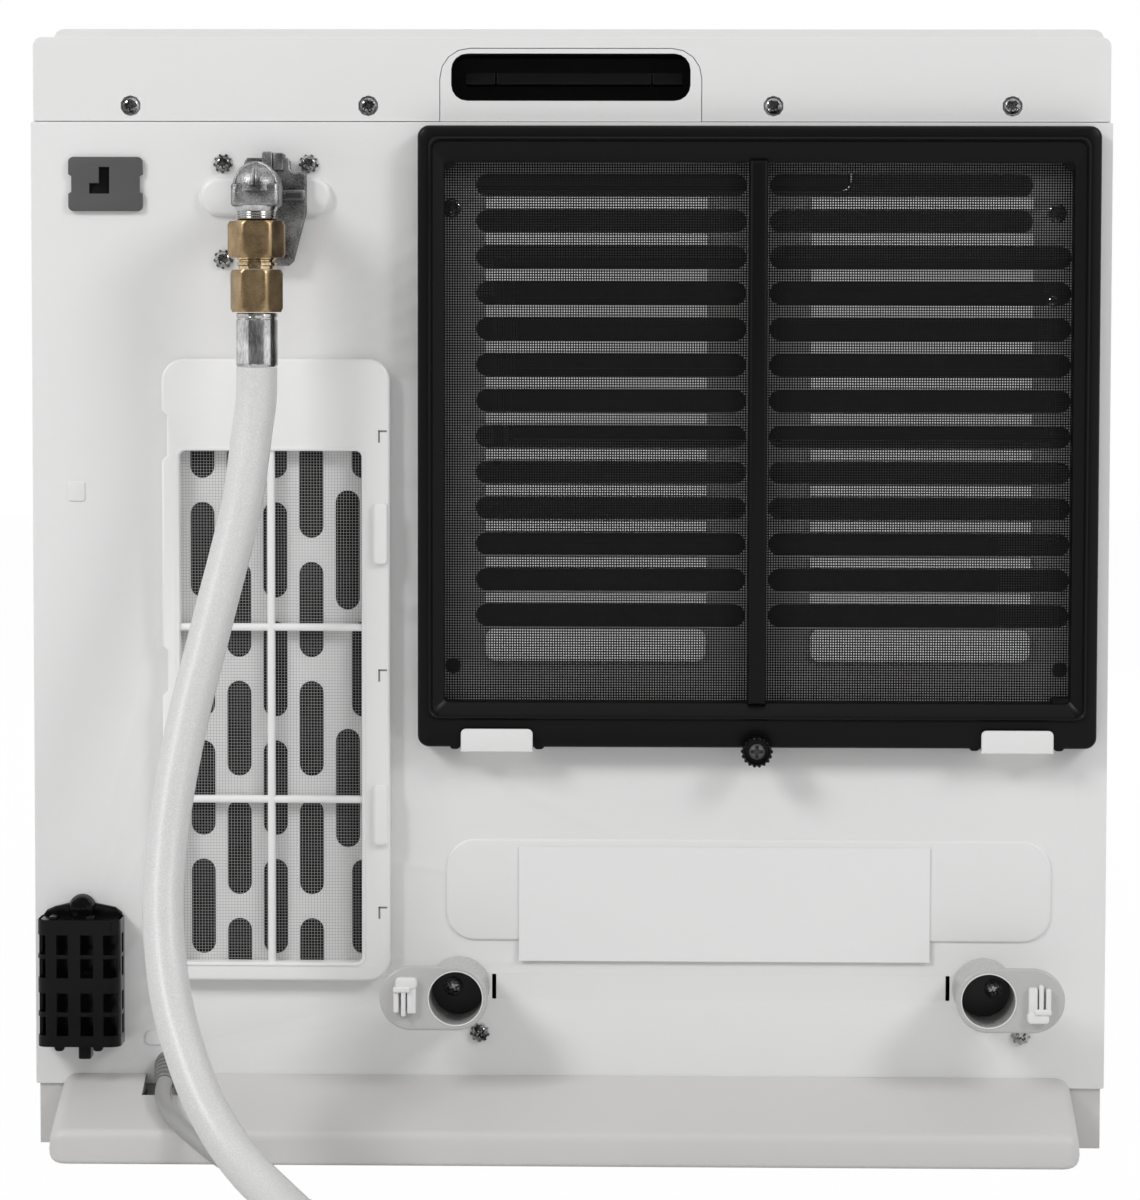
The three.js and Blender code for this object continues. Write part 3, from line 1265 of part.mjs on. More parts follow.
function displayWindow() {
  const half = DISPLAY_HEIGHT / 2 - GAP;
  return block(
    [-DISPLAY_HALF_WIDTH + GAP, DISPLAY_HALF_WIDTH - GAP],
    [CONTROL_BACK_Y, CONTROL_FACE_Y + GAP],
    [CONTROL_MIDDLE_Z - half, CONTROL_MIDDLE_Z + half],
  );
}

function button(x) {
  const height = BUTTON_FLANGE_HEIGHT + GAP + CONTROL_PLATE + BUTTON_STAND;
  const flange = BUTTON_RADIUS + BUTTON_FLANGE;
  const profile = [
    [0, 0],
    [flange, 0],
    [flange, BUTTON_FLANGE_HEIGHT],
    [BUTTON_RADIUS, BUTTON_FLANGE_HEIGHT],
    [BUTTON_RADIUS, height - GAP],
    [BUTTON_RADIUS - GAP, height],
    [0, height],
  ];
  return turned(profile, new THREE.Vector3(x, BUTTON_BACK_Y, CONTROL_MIDDLE_Z), FORWARD);
}

function controlBoard() {
  const half = CONTROL_HALF_WIDTH - MOULDING;
  const z = [CONTROL_Z[0] + MOULDING, CONTROL_Z[1] - MOULDING];
  const board = block([-half, half], [CONTROL_BOARD_Y - BOARD, CONTROL_BOARD_Y], z);
  const switches = BUTTON_XS.map((x) => block(
    [x - SWITCH_HALF_WIDTH, x + SWITCH_HALF_WIDTH],
    [CONTROL_BOARD_Y - BOARD / 2, CONTROL_BOARD_Y + SWITCH_HEIGHT],
    [CONTROL_MIDDLE_Z - SWITCH_HALF_WIDTH, CONTROL_MIDDLE_Z + SWITCH_HALF_WIDTH],
  ));
  const length = CONTROL_BACK_Y - GAP - CONTROL_BOARD_Y + BOARD / 2;
  const posts = [-POST_SHARE, POST_SHARE].map((share) => {
    const at = new THREE.Vector3(share * CONTROL_HALF_WIDTH, CONTROL_BOARD_Y - BOARD / 2, CONTROL_MIDDLE_Z);
    return rod(POST_RADIUS, length, at, FORWARD, SMALL_ROUND_STEPS);
  });
  return joined([board, ...switches, ...posts]);
}

// Fan

const FAN_AXIS_Y = REAR_Y + SHEET + GAP + HOUSING.clearance + HOUSING.wall + ROTOR.radius;
const FAN_AXIS_Z = PANEL_TOP - FAN_AXIS_DROP;
const HOUSING_X = [FAN_X[0] + HOUSING_FROM_LEFT, FAN_X[1] - HOUSING_FROM_RIGHT];
const ROTOR_X = [HOUSING_X[0] + HOUSING.plate + HOUSING.side, HOUSING_X[1] - HOUSING.plate - HOUSING.side];
const MOTOR_X = [HOUSING_X[0] - GAP - MOTOR.length, HOUSING_X[0] - GAP];

function fanRotor() {
  const along = (x) => new THREE.Vector3(x, FAN_AXIS_Y, FAN_AXIS_Z);
  const shaftX = [HOUSING_X[0] - GAP - MOTOR.shaftIn, HOUSING_X[1] + HOUSING.side];
  const shaft = rod(ROTOR.shaft, shaftX[1] - shaftX[0], along(shaftX[0]), RIGHT, SMALL_ROUND_STEPS);
  const width = ROTOR_X[1] - ROTOR_X[0];
  const discs = [];
  for (let k = 0; k < ROTOR_DISCS; k += 1) {
    const x = ROTOR_X[0] + ((width - ROTOR.disc) * k) / (ROTOR_DISCS - 1);
    discs.push(rod(ROTOR.radius, ROTOR.disc, along(x), RIGHT));
  }
  const blades = [];
  for (let k = 0; k < ROTOR_BLADES; k += 1) {
    blades.push(rotorBlade((k / ROTOR_BLADES) * Math.PI * 2, width));
  }
  return joined([shaft, ...discs, ...blades]);
}

function rotorBlade(angle, width) {
  const blade = new THREE.BoxGeometry(width - ROTOR.disc, ROTOR.bladeThickness, ROTOR.blade);
  blade.rotateX(ROTOR_TILT);
  blade.translate(0, 0, ROTOR.radius - ROTOR.blade / 2 - ROTOR.bladeThickness);
  blade.rotateX(angle);
  blade.translate((ROTOR_X[0] + ROTOR_X[1]) / 2, FAN_AXIS_Y, FAN_AXIS_Z);
  return toSolid(blade);
}

function fanHousing() {
  const outer = ROTOR.radius + HOUSING.clearance + HOUSING.wall;
  const inner = outer - HOUSING.wall;
  const centre = REAR_Y - FAN_AXIS_Y;
  const arc = new THREE.Shape();
  const [from, to] = HOUSING_ARC.map((turn) => Math.PI / 2 + turn);
  arc.absarc(centre, FAN_AXIS_Z, outer, from, to, false);
  arc.absarc(centre, FAN_AXIS_Z, inner, to, from, true);
  const shroud = beam(arc, [HOUSING_X[0] + HOUSING.plate / 2, HOUSING_X[1] - HOUSING.plate / 2], SHROUD_STEPS);
  const depth = [-SHEET - GAP - 2 * outer + HOUSING.clearance, -SHEET - GAP];
  const plateZ = [FAN_AXIS_Z - outer, FAN_AXIS_Z + outer];
  const ends = [
    [HOUSING_X[0], HOUSING_X[0] + HOUSING.plate],
    [HOUSING_X[1] - HOUSING.plate, HOUSING_X[1]],
  ].map((x) => slab(x, depth, plateZ));
  const holeX = HOUSING_X[0] - CUT;
  const hole = rod(
    ROTOR.shaft + GAP,
    HOUSING_X[1] - HOUSING_X[0] + 2 * CUT,
    new THREE.Vector3(holeX, FAN_AXIS_Y, FAN_AXIS_Z),
    RIGHT,
    SMALL_ROUND_STEPS,
  );
  return joined([shroud, ...ends]).subtract(hole);
}

function fanMotor() {
  const can = rod(MOTOR.radius, MOTOR.length, new THREE.Vector3(MOTOR_X[0], FAN_AXIS_Y, FAN_AXIS_Z), RIGHT);
  const depth = MOTOR.shaftIn + GAP;
  const at = new THREE.Vector3(MOTOR_X[1] - depth, FAN_AXIS_Y, FAN_AXIS_Z);
  return can.subtract(rod(ROTOR.shaft + GAP, depth + CUT, at, RIGHT, SMALL_ROUND_STEPS));
}

// Combustion side

const VALVE_Y = [REAR_Y + SHEET + VALVE_INSET, REAR_Y + SHEET + VALVE_INSET + VALVE.depth];
const CHAMBER_X = [-BODY_HALF + CHAMBER.fromLeft, BODY_HALF - CHAMBER.fromRight];
const CHAMBER_Y = [REAR_Y + CHAMBER.rear, CABINET_FRONT_Y - CHAMBER.front];
const FLOOR_Z = MOULDING + GAP;
const PIPE_X = INLET_X - PIPE.side;
const PIPE_Y = (VALVE_Y[0] + VALVE_Y[1]) / 2;

function combustionChamber() {
  const outer = block(CHAMBER_X, CHAMBER_Y, [FLOOR_Z, CHAMBER.top]);
  const inner = block(
    [CHAMBER_X[0] + CHAMBER.wall, CHAMBER_X[1] - CHAMBER.wall],
    [CHAMBER_Y[0] + CHAMBER.wall, CHAMBER_Y[1] - CHAMBER.wall],
    [FLOOR_Z - CUT, CHAMBER.top + CUT],
  );
  const across = block(
    [CHAMBER_X[0] + CHAMBER_LEG, CHAMBER_X[1] - CHAMBER_LEG],
    [CHAMBER_Y[0] + 2 * CHAMBER.wall, CHAMBER_Y[1] + CUT],
    [FLOOR_Z - CUT, CHAMBER.throat],
  );
  const mouthAt = new THREE.Vector3(CHAMBER_X[0] - CUT, PIPE_Y, BURNER.height);
  const mouth = rod(BURNER.radius + GAP, CHAMBER.wall + 2 * CUT, mouthAt, RIGHT);
  const sockets = electrodeYs().map((y) => {
    const at = new THREE.Vector3(CHAMBER_X[0] - CUT, y, BURNER.height + ELECTRODE.rise);
    return rod(ELECTRODE.radius + GAP, CHAMBER.wall + 2 * CUT, at, RIGHT, SMALL_ROUND_STEPS);
  });
  return cutAway(outer, [inner, across, mouth, ...sockets]);
}

function burnerBar() {
  const x = [CHAMBER_X[0] - BURNER.overhang, CHAMBER_X[1] - CHAMBER.wall - GAP];
  const body = rod(BURNER.radius, x[1] - x[0], new THREE.Vector3(x[0], PIPE_Y, BURNER.height), RIGHT);
  const start = CHAMBER_X[0] + CHAMBER_LEG;
  const step = (x[1] - start - CHAMBER_LEG) / BURNER_PORTS;
  const ports = [];
  for (let k = 0; k < BURNER_PORTS; k += 1) {
    const left = start + k * step;
    ports.push(block(
      [left, left + BURNER.port],
      [PIPE_Y - BURNER.radius, PIPE_Y + BURNER.radius],
      [BURNER.height + BURNER.radius - BURNER.portDepth, BURNER.height + BURNER.radius + CUT],
    ));
  }
  return cutAway(body, ports);
}

function electrodeYs() {
  return [PIPE_Y + ELECTRODE.first, PIPE_Y + ELECTRODE.second];
}

function electrode(y) {
  const start = CHAMBER_X[0] - ELECTRODE.length / 2;
  const profile = [
    [0, 0],
    [ELECTRODE.radius, 0],
    [ELECTRODE.radius, ELECTRODE.length],
    [ELECTRODE.rod, ELECTRODE.length],
    [ELECTRODE.rod, ELECTRODE.length + ELECTRODE.rodLength],
    [0, ELECTRODE.length + ELECTRODE.rodLength],
  ];
  const at = new THREE.Vector3(start, y, BURNER.height + ELECTRODE.rise);
  return turned(profile, at, RIGHT, SMALL_ROUND_STEPS);
}

function gasValve() {
  const x = [INLET_X - VALVE.left, INLET_X + VALVE.right];
  const z = [INLET_Z - VALVE.bottom, INLET_Z + VALVE.top];
  const body = block(x, VALVE_Y, z);
  const coilZ = [z[0] + VALVE.coil, z[1] - VALVE.coil];
  const coils = coilZ.map((at) => rod(
    VALVE.coil - GAP,
    VALVE.coilReach + VALVE.left,
    new THREE.Vector3(x[0] - VALVE.coilReach, PIPE_Y, at),
    RIGHT,
  ));
  return joined([body, ...coils]);
}

function gasPipe() {
  const top = INLET_Z - VALVE.bottom - GAP;
  const end = CHAMBER_X[0] - BURNER.overhang - GAP;
  const points = [
    new THREE.Vector3(PIPE_X, PIPE_Y, top),
    new THREE.Vector3(PIPE_X, PIPE_Y, (top + BURNER.height) / 2),
  ];
  for (let k = 0; k <= PIPE_BEND_STEPS; k += 1) {
    const angle = (k / PIPE_BEND_STEPS) * (Math.PI / 2);
    points.push(new THREE.Vector3(
      PIPE_X + PIPE.bend * (1 - Math.cos(angle)),
      PIPE_Y,
      BURNER.height + PIPE.bend * (1 - Math.sin(angle)),
    ));
  }
  points.push(new THREE.Vector3(end, PIPE_Y, BURNER.height));
  return tube(points, PIPE.radius, SMALL_ROUND_STEPS);
}

// Electrics

function mainBoard() {
  const face = BODY_HALF - SHEET - GAP - MAIN_BOARD.standoff;
  const y = [REAR_Y + MAIN_BOARD.rear, CABINET_FRONT_Y - MAIN_BOARD.front];
  const z = [MAIN_BOARD.bottom, MAIN_BOARD.top];
  const board = block([face - BOARD, face], y, z);
  const edge = MAIN_BOARD.standoff;
  const posts = [y[0] + edge, y[1] - edge].flatMap((py) => [z[0] + edge, z[1] - edge].map((pz) => rod(
    POST_RADIUS,
    MAIN_BOARD.standoff + BOARD / 2,
    new THREE.Vector3(face - BOARD / 2, py, pz),
    RIGHT,
    SMALL_ROUND_STEPS,
  )));
  const parts = BOARD_PART_SHARES.map((share) => {
    const at = z[0] + share * (z[1] - z[0]);
    return block(
      [face - BOARD - MAIN_BOARD.part, face - BOARD / 2],
      [y[0] + 2 * edge, y[0] + 2 * edge + 2 * MAIN_BOARD.part],
      [at, at + 2 * MAIN_BOARD.part],
    );
  });
  return joined([board, ...posts, ...parts]);
}

function tipSwitch() {
  const right = TRAY_HALF - MOULDING - TIP_SWITCH.fromSide;
  const front = CABINET_FRONT_Y - TIP_SWITCH.front;
  return block(
    [right - TIP_SWITCH.side, right],
    [front - TIP_SWITCH.length, front],
    [FLOOR_Z, FLOOR_Z + TIP_SWITCH.height],
  );
}

// Gas hose

function hoseRunPoints() {
  const top = FERRULE_TOP - FERRULE.height - GAP;
  const heading = headingVector(HOSE_LOOP_HEADING);
  const end = new THREE.Vector3(HOSE_LOOP.x, HOSE_LOOP.y, HOSE_RADIUS + GAP).addScaledVector(heading, -GAP);
  return [onHoseAxis(top), ...toPoints(HOSE_RUN), end];
}

function headingVector(degrees) {
  const angle = THREE.MathUtils.degToRad(degrees);
  return new THREE.Vector3(Math.cos(angle), Math.sin(angle), 0);
}

// Points of an arc on the floor that starts at a point in a heading and turns clockwise, seen from above
function clockwiseArc(start, heading, radius, turn) {
  const centre = start.clone().addScaledVector(headingVector(heading - 90), radius);
  const steps = Math.ceil((turn / 360) * LOOP_STEPS);
  const points = [];
  for (let k = 1; k <= steps; k += 1) {
    const angle = heading + 90 - (turn * k) / steps;
    points.push(centre.clone().addScaledVector(headingVector(angle), radius));
  }
  return points;
}

function hoseLoopPoints() {
  const z = HOSE_RADIUS + GAP;
  const start = new THREE.Vector3(HOSE_LOOP.x, HOSE_LOOP.y, z);
  const bend = start.clone().addScaledVector(headingVector(HOSE_LOOP_HEADING), 2 * HOSE_RADIUS);
  const wide = clockwiseArc(bend, HOSE_LOOP_HEADING, HOSE_LOOP.wide, HOSE_LOOP_WIDE_TURN);
  const heading = HOSE_LOOP_HEADING - HOSE_LOOP_WIDE_TURN;
  const tight = clockwiseArc(wide[wide.length - 1], heading, HOSE_LOOP.tight, HOSE_LOOP_TIGHT_TURN);
  const rise = BAYONET.nutRadius + GAP - z;
  tight.forEach((point, i) => point.setZ(z + rise * smoothShare((i + 1) / tight.length)));
  const last = tight[tight.length - 1];
  const end = last.clone().addScaledVector(headingVector(heading - HOSE_LOOP_TIGHT_TURN), 2 * HOSE_RADIUS);
  return [start, bend, ...wide, ...tight, end];
}

function bayonetPlug(points) {
  const last = points[points.length - 1];
  const axis = last.clone().sub(points[points.length - 2]).normalize();
  const at = (distance) => last.clone().addScaledVector(axis, GAP + distance);
  const nutStart = BAYONET.ferrule;
  const bodyStart = nutStart + BAYONET.nut;
  const noseStart = bodyStart + BAYONET.body;
  const pieces = [
    rod(FERRULE.radius, BAYONET.ferrule + CUT, at(0), axis),
    rod(BAYONET.nutRadius, BAYONET.nut, at(nutStart), axis, HEX_SIDES),
    rod(BAYONET.bodyRadius, BAYONET.body + CUT, at(bodyStart - CUT), axis),
    rod(BAYONET.noseRadius, BAYONET.nose, at(noseStart), axis),
  ];
  const across = new THREE.Vector3().crossVectors(axis, UP).normalize();
  const lugAt = at(noseStart + BAYONET.nose - BAYONET_LUG.fromTip).addScaledVector(across, -BAYONET_LUG.reach);
  pieces.push(rod(BAYONET_LUG.half, 2 * BAYONET_LUG.reach, lugAt, across, SMALL_ROUND_STEPS));
  return joined(pieces);
}

// Power cord

function cordCoilPoints() {
  const { x, y, radius, pitch, tail } = CORD_COIL;
  const z = CORD_RADIUS + GAP;
  const straight = 2 * CORD_RADIUS;
  const points = [new THREE.Vector3(x - straight, y + radius, z)];
  const steps = CORD_COIL_LOOPS * LOOP_STEPS;
  const climb = CORD_COIL_LOOPS / 2 - CORD_CLIMB_LEAD;
  for (let k = 0; k <= steps; k += 1) {
    const loops = k / LOOP_STEPS;
    const angle = Math.PI / 2 - loops * Math.PI * 2;
    const reach = radius - pitch * Math.min(loops, CORD_COIL_LOOPS - loops);
    const height = z + pitch * smoothShare((loops - climb) * 2);
    points.push(new THREE.Vector3(x + reach * Math.cos(angle), y + reach * Math.sin(angle), height));
  }
  const end = points[points.length - 1].clone();
  end.y -= tail;
  return [...points, end];
}

function cordRunPoints() {
  const start = RELIEF_END.clone().addScaledVector(RELIEF_AXIS, GAP);
  const coil = cordCoilPoints();
  const end = coil[0].clone();
  end.x -= GAP;
  return [start, ...toPoints(CORD_RUN), end];
}

function powerPlug(points) {
  const last = points[points.length - 1];
  const front = last.y - GAP;
  const z = last.z;
  const sleeve = rod(PLUG.sleeveRadius, PLUG.sleeve + CUT, new THREE.Vector3(last.x, front, z), OUTWARD);
  const bodyY = [front - PLUG.sleeve - PLUG.length, front - PLUG.sleeve];
  const half = PLUG.height / 2;
  const bodyX = [last.x - PLUG.width / 2, last.x + PLUG.width / 2];
  const outline = roundRect(bodyX, [z - half, z + half], PLUG.radius);
  const body = plateY(outline, bodyY);
  const pinY = [bodyY[0] - PIN.length, bodyY[0] + CUT];
  const pins = [-PIN.side, PIN.side].map((side) => block(
    [last.x + side - PIN.width / 2, last.x + side + PIN.width / 2],
    pinY,
    [z + PIN.thickness, z + 2 * PIN.thickness],
  ));
  const earth = block(
    [last.x - PIN.thickness / 2, last.x + PIN.thickness / 2],
    pinY,
    [z - PIN.side, z - PIN.side + PIN.width],
  );
  return joined([sleeve, body, ...pins, earth]);
}

// The heater

add('base_tray', baseTray(), GREY_PLASTIC);
add('rear_plinth', rearPlinth(), GREY_PLASTIC);
add('rear_panel', rearPanel(), WHITE_PAINT);
add('left_side_panel', sidePanel(-1), WHITE_PAINT);
add('right_side_panel', sidePanel(1), WHITE_PAINT);
add('top_cover', topCover(), WHITE_PLASTIC);
add('handle_bezel', handleBezel(), WHITE_PLASTIC);
add('handle_cup', handleCup(), BLACK_PLASTIC);
add('front_panel', frontPanel(), WHITE_PLASTIC);
add('outlet_grille', outletGrille(), BLACK_PLASTIC);
add('control_panel', controlPanel(), BLACK_PLASTIC);
add('display_window', displayWindow(), DARK_GLASS);
const buttonNames = ['power_button', 'cooler_button', 'warmer_button', 'timer_button'];
buttonNames.forEach((name, i) => add(name, button(BUTTON_XS[i]), GREY_PLASTIC));
add('control_board', controlBoard(), BOARD_GREEN);
coverScrewPlaces().forEach(([x, z], i) => {
  add(`cover_screw_${i + 1}`, screw(x, coverScrewSeatY() - GAP, z), BRIGHT_STEEL);
});

add('gas_type_plate', gasTypePlate(), PLATE_GREY);
add('inlet_bracket', inletBracket(), CAST_ZINC);
add('gas_elbow', gasElbow(), CAST_ZINC);
add('inlet_union_nut', unionNut(), BRASS);
add('hose_tail_nut', hexPrism(TAIL_NUT.radius, TAIL_NUT.height, TAIL_NUT_TOP), BRASS);
add('hose_ferrule', rod(FERRULE.radius, FERRULE.height, onHoseAxis(FERRULE_TOP), DOWN), BRIGHT_STEEL);
inletScrewPlaces().forEach(([x, z], i) => {
  add(`inlet_screw_${i + 1}`, screw(x, outwardY(GAP), z), BRIGHT_STEEL);
});

add('burner_filter_frame', burnerFilterFrame(), WHITE_PLASTIC);
add('burner_filter_net', burnerFilterNet(), WHITE_NET);
add('fan_filter_frame', fanFilterFrame(), BLACK_PLASTIC);
add('fan_filter_net', fanFilterNet(), BLACK_NET);
add('filter_thumbscrew', thumbscrew(), BLACK_PLASTIC);
add('label_plate', labelPlate(), LABEL_WHITE);
add('spacer_left', spacer(0), GREY_PLASTIC);
add('spacer_right', spacer(1), GREY_PLASTIC);
['spacer_screw_left', 'spacer_screw_right'].forEach((name, i) => {
  add(name, screw(SPACER_XS[i], outwardY(SPACER.floor + GAP), SPACER_Z + SPACER_SCREW_RISE), BRIGHT_STEEL);
});
add('sensor_cage', sensorCage(), BLACK_PLASTIC);
add('room_thermistor', roomThermistor(), BLACK_PLASTIC);
add('cord_strain_relief', reliefTool(0), GREY_PLASTIC);

add('fan_housing', fanHousing(), GALVANISED);
add('fan_rotor', fanRotor(), GALVANISED);
add('fan_motor', fanMotor(), GALVANISED);
add('combustion_chamber', combustionChamber(), GALVANISED);
add('burner', burnerBar(), GALVANISED);
const electrodeNames = ['spark_electrode', 'flame_sensor'];
electrodeNames.forEach((name, i) => add(name, electrode(electrodeYs()[i]), CERAMIC));
add('gas_valve', gasValve(), CAST_ZINC);
add('gas_pipe', gasPipe(), BRIGHT_STEEL);
add('main_board', mainBoard(), BOARD_GREEN);
add('tip_over_switch', tipSwitch(), BLACK_PLASTIC);

const hoseLoop = hoseLoopPoints();
add('gas_hose_run', run(hoseRunPoints(), HOSE_RADIUS, CORD_SIDES, RUN_STEPS_PER_DIAMETER), HOSE_WHITE);
add('gas_hose_coil', tube(hoseLoop, HOSE_RADIUS, LOOP_SIDES), HOSE_WHITE);
add('hose_bayonet', bayonetPlug(hoseLoop), BRASS);

const cordCoil = cordCoilPoints();
add('power_cord_run', run(cordRunPoints(), CORD_RADIUS, CORD_SIDES, RUN_STEPS_PER_DIAMETER), CORD_GREY);
add('power_cord_coil', tube(cordCoil, CORD_RADIUS, LOOP_SIDES), CORD_GREY);
add('power_plug', powerPlug(cordCoil), GREY_PLASTIC);

console.log(`least gap of the gas hose to itself: ${leastGap(hoseLoop, HOSE_RADIUS).toFixed(2)} mm`);
console.log(`least gap of the power cord to itself: ${leastGap(cordCoil, CORD_RADIUS).toFixed(2)} mm`);
console.log(`gas hose length: ${(pathLength(hoseRunPoints()) + pathLength(hoseLoop)).toFixed(0)} mm`);
console.log(`power cord length: ${(pathLength(cordRunPoints()) + pathLength(cordCoil)).toFixed(0)} mm`);

export default heater;
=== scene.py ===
# %% [markdown]
# # A gas space heater, seen from behind
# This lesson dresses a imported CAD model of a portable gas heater: a white steel cabinet on a grey base,
# two dust filters, a cast gas inlet with a clear hose, wall spacers, a caged sensor and a mains cord.
# The CAD solids give every place and size, so a new piece is built in the same frame and never fitted.

from math import atan2, cos, pi, radians, sin, tan, tau

import bmesh
import bpy
from mathutils import Matrix, Vector


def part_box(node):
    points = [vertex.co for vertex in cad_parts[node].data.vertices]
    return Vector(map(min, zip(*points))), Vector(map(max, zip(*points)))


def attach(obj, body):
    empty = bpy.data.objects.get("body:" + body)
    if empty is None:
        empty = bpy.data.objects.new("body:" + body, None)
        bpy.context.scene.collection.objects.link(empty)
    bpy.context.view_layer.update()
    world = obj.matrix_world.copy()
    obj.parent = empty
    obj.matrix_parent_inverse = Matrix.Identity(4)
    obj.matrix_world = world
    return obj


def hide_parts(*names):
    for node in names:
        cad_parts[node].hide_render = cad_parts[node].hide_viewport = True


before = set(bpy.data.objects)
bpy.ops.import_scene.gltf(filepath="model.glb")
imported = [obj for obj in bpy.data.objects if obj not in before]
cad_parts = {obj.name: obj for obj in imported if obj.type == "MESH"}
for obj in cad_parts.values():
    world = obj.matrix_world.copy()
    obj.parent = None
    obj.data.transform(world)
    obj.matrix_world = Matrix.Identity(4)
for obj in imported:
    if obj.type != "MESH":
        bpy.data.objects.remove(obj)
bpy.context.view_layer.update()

# %% [markdown]
# Lengths in this file are millimetres, as on a drawing, and Blender works in metres, so everything passes
# through one factor. Places on the rear are given as X, the distance outward of the rear panel's face, and
# height. The face's own Y is read from the CAD node of the panel, which is 1.2 mm thick.

# %% Units and places
MM = 0.001
PANEL_SHEET = 1.2
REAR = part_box("rear_panel")[1].y / MM - PANEL_SHEET
CABINET = "cabinet"


def place(x, out, z):
    """A point X, outward of the rear face and up, in millimetres, as a Blender vector."""
    return Vector((x, REAR - out, z)) * MM


def node_box(name):
    """A CAD node's X, outward and height limits, in millimetres."""
    low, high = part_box(name)
    return (
        (low.x / MM, high.x / MM),
        (REAR - high.y / MM, REAR - low.y / MM),
        (low.z / MM, high.z / MM),
    )


print("rear face at y", round(REAR, 2), "mm")

# %% [markdown]
# The camera stands 1.9 m behind the rear panel, a little to the right of its middle and well above it. It
# looks slightly left and down, which gives the photograph's small keystone. A long lens keeps the sides
# nearly parallel. Blender fits the sensor to the longer side of the picture, which is the height here.
# The place and the angles come from a fit of two dozen corners that the photograph shows.

# %% Camera
PHOTO_HEIGHT = 1200
FOCAL_PIXELS = 4338
PITCH, YAW, ROLL = radians(90 - 3.69), radians(1.18), radians(0.11)
camera_data = bpy.data.cameras.new("rear_camera")
camera_data.sensor_width = 36
camera_data.lens = FOCAL_PIXELS / PHOTO_HEIGHT * camera_data.sensor_width
camera = bpy.data.objects.new("rear_camera", camera_data)
aim = Matrix.Rotation(YAW, 3, "Z") @ Matrix.Rotation(PITCH, 3, "X") @ Matrix.Rotation(ROLL, 3, "Z")
camera.location = place(39.1, 1891.6, 363.1)
camera.rotation_euler = aim.to_euler()
bpy.context.scene.collection.objects.link(camera)
bpy.context.scene.camera = camera
print("lens", round(camera_data.lens, 1), "mm")

# %% [markdown]
# Shader maths reads best as plain Python. A `Socket` stands for the output of a shader node, and its
# operators add Math nodes. A `Recipe` is one material in the making, or the world's light: its single
# method `node` adds any other node, given its type, its settings and what its inputs hold.


# %% Sockets and recipes
class Socket:
    """The output of a shader node, which can be used in arithmetic."""

    def __init__(self, recipe, socket):
        self.recipe = recipe
        self.socket = socket

    def maths(self, operation, first, second):
        """A Math node on two sockets or numbers."""
        return self.recipe.node("ShaderNodeMath", {0: first, 1: second}, operation=operation)

    def __add__(self, other):
        return self.maths("ADD", self, other)

    def __radd__(self, other):
        return self.maths("ADD", other, self)

    def __mul__(self, other):
        return self.maths("MULTIPLY", self, other)

    def __rmul__(self, other):
        return self.maths("MULTIPLY", other, self)

    def __lt__(self, other):
        return self.maths("LESS_THAN", self, other)

    def or_more(self, other):
        """The larger of the two, which is the union of two masks."""
        return self.maths("MAXIMUM", self, other)


class Recipe:
    """One material in the making, or the world's light."""

    def __init__(self, holder):
        holder.use_nodes = True
        self.holder = holder
        self.tree = holder.node_tree
        self.tree.nodes.clear()

    def node(self, kind, inputs=None, output=0, stops=None, **settings):
        """Adds a node with settings, ramp stops and inputs, and gives one of its outputs."""
        made = self.tree.nodes.new(kind)
        for key, value in settings.items():
            setattr(made, key, value)
        if stops:
            ramp = made.color_ramp.elements
            while len(ramp) < len(stops):
                ramp.new(0.5)
            for element, (position, level) in zip(ramp, stops):
                element.position = position
                element.color = (level, level, level, 1)
        for key, value in (inputs or {}).items():
            if isinstance(value, Socket):
                self.tree.links.new(value.socket, made.inputs[key])
            else:
                made.inputs[key].default_value = value
        return Socket(self, made.outputs[output]) if made.outputs else None


def new_material(name):
    """A recipe for a new material."""
    return Recipe(bpy.data.materials.new(name))


def grey(level, warmth=0.0):
    """A neutral colour of that level, a touch warmer if asked."""
    return (level * (1 + warmth), level, level * (1 - warmth), 1)


print("operators ready")

# %% [markdown]
# No surface is one flat colour. Moulded plastic has a fine spark-eroded grain, paint has a faint orange
# peel, and both vary a little in tone and gloss over a hand's breadth. Every finish therefore starts from
# noise at two scales in the object's own coordinates, and a Bump node turns the fine one into relief.


# %% Noise, colour mixing and the closing shader
def object_spot(recipe):
    """The place on the surface in the object's own coordinates."""
    return recipe.node("ShaderNodeTexCoord", output="Object")


def grain(recipe, per_mm, detail=2.0, stretch=None):
    """Noise of about so many grains per millimetre, from 0 to 1."""
    spot = object_spot(recipe)
    if stretch:
        spot = recipe.node("ShaderNodeVectorMath", {0: spot, 1: stretch}, operation="MULTIPLY")
    return recipe.node(
        "ShaderNodeTexNoise",
        {"Vector": spot, "Scale": per_mm / MM, "Detail": detail, "Roughness": 0.5},
    )


def blended(recipe, share, first, second):
    """The first colour where share is 0 and the second where it is 1."""
    return recipe.node("ShaderNodeMix", {0: share, 6: first, 7: second}, output=2, data_type="RGBA")


def relief(recipe, height, depth_mm):
    """A normal raised by height times a depth in millimetres."""
    return recipe.node("ShaderNodeBump", {"Height": height, "Strength": 1.0, "Distance": depth_mm * MM})


def finished(recipe, colour, roughness, normal=None, **constants):
    """Closes a recipe with one Principled shader. Constants go on its own sockets."""
    inputs = {"Base Color": colour, "Roughness": roughness}
    if normal is not None:
        inputs["Normal"] = normal
    for key, value in constants.items():
        inputs[key.replace("_", " ")] = value
    shader = recipe.node("ShaderNodeBsdfPrincipled", inputs)
    recipe.node("ShaderNodeOutputMaterial", {"Surface": shader})
    return recipe.holder


print("noise and shader helpers ready")

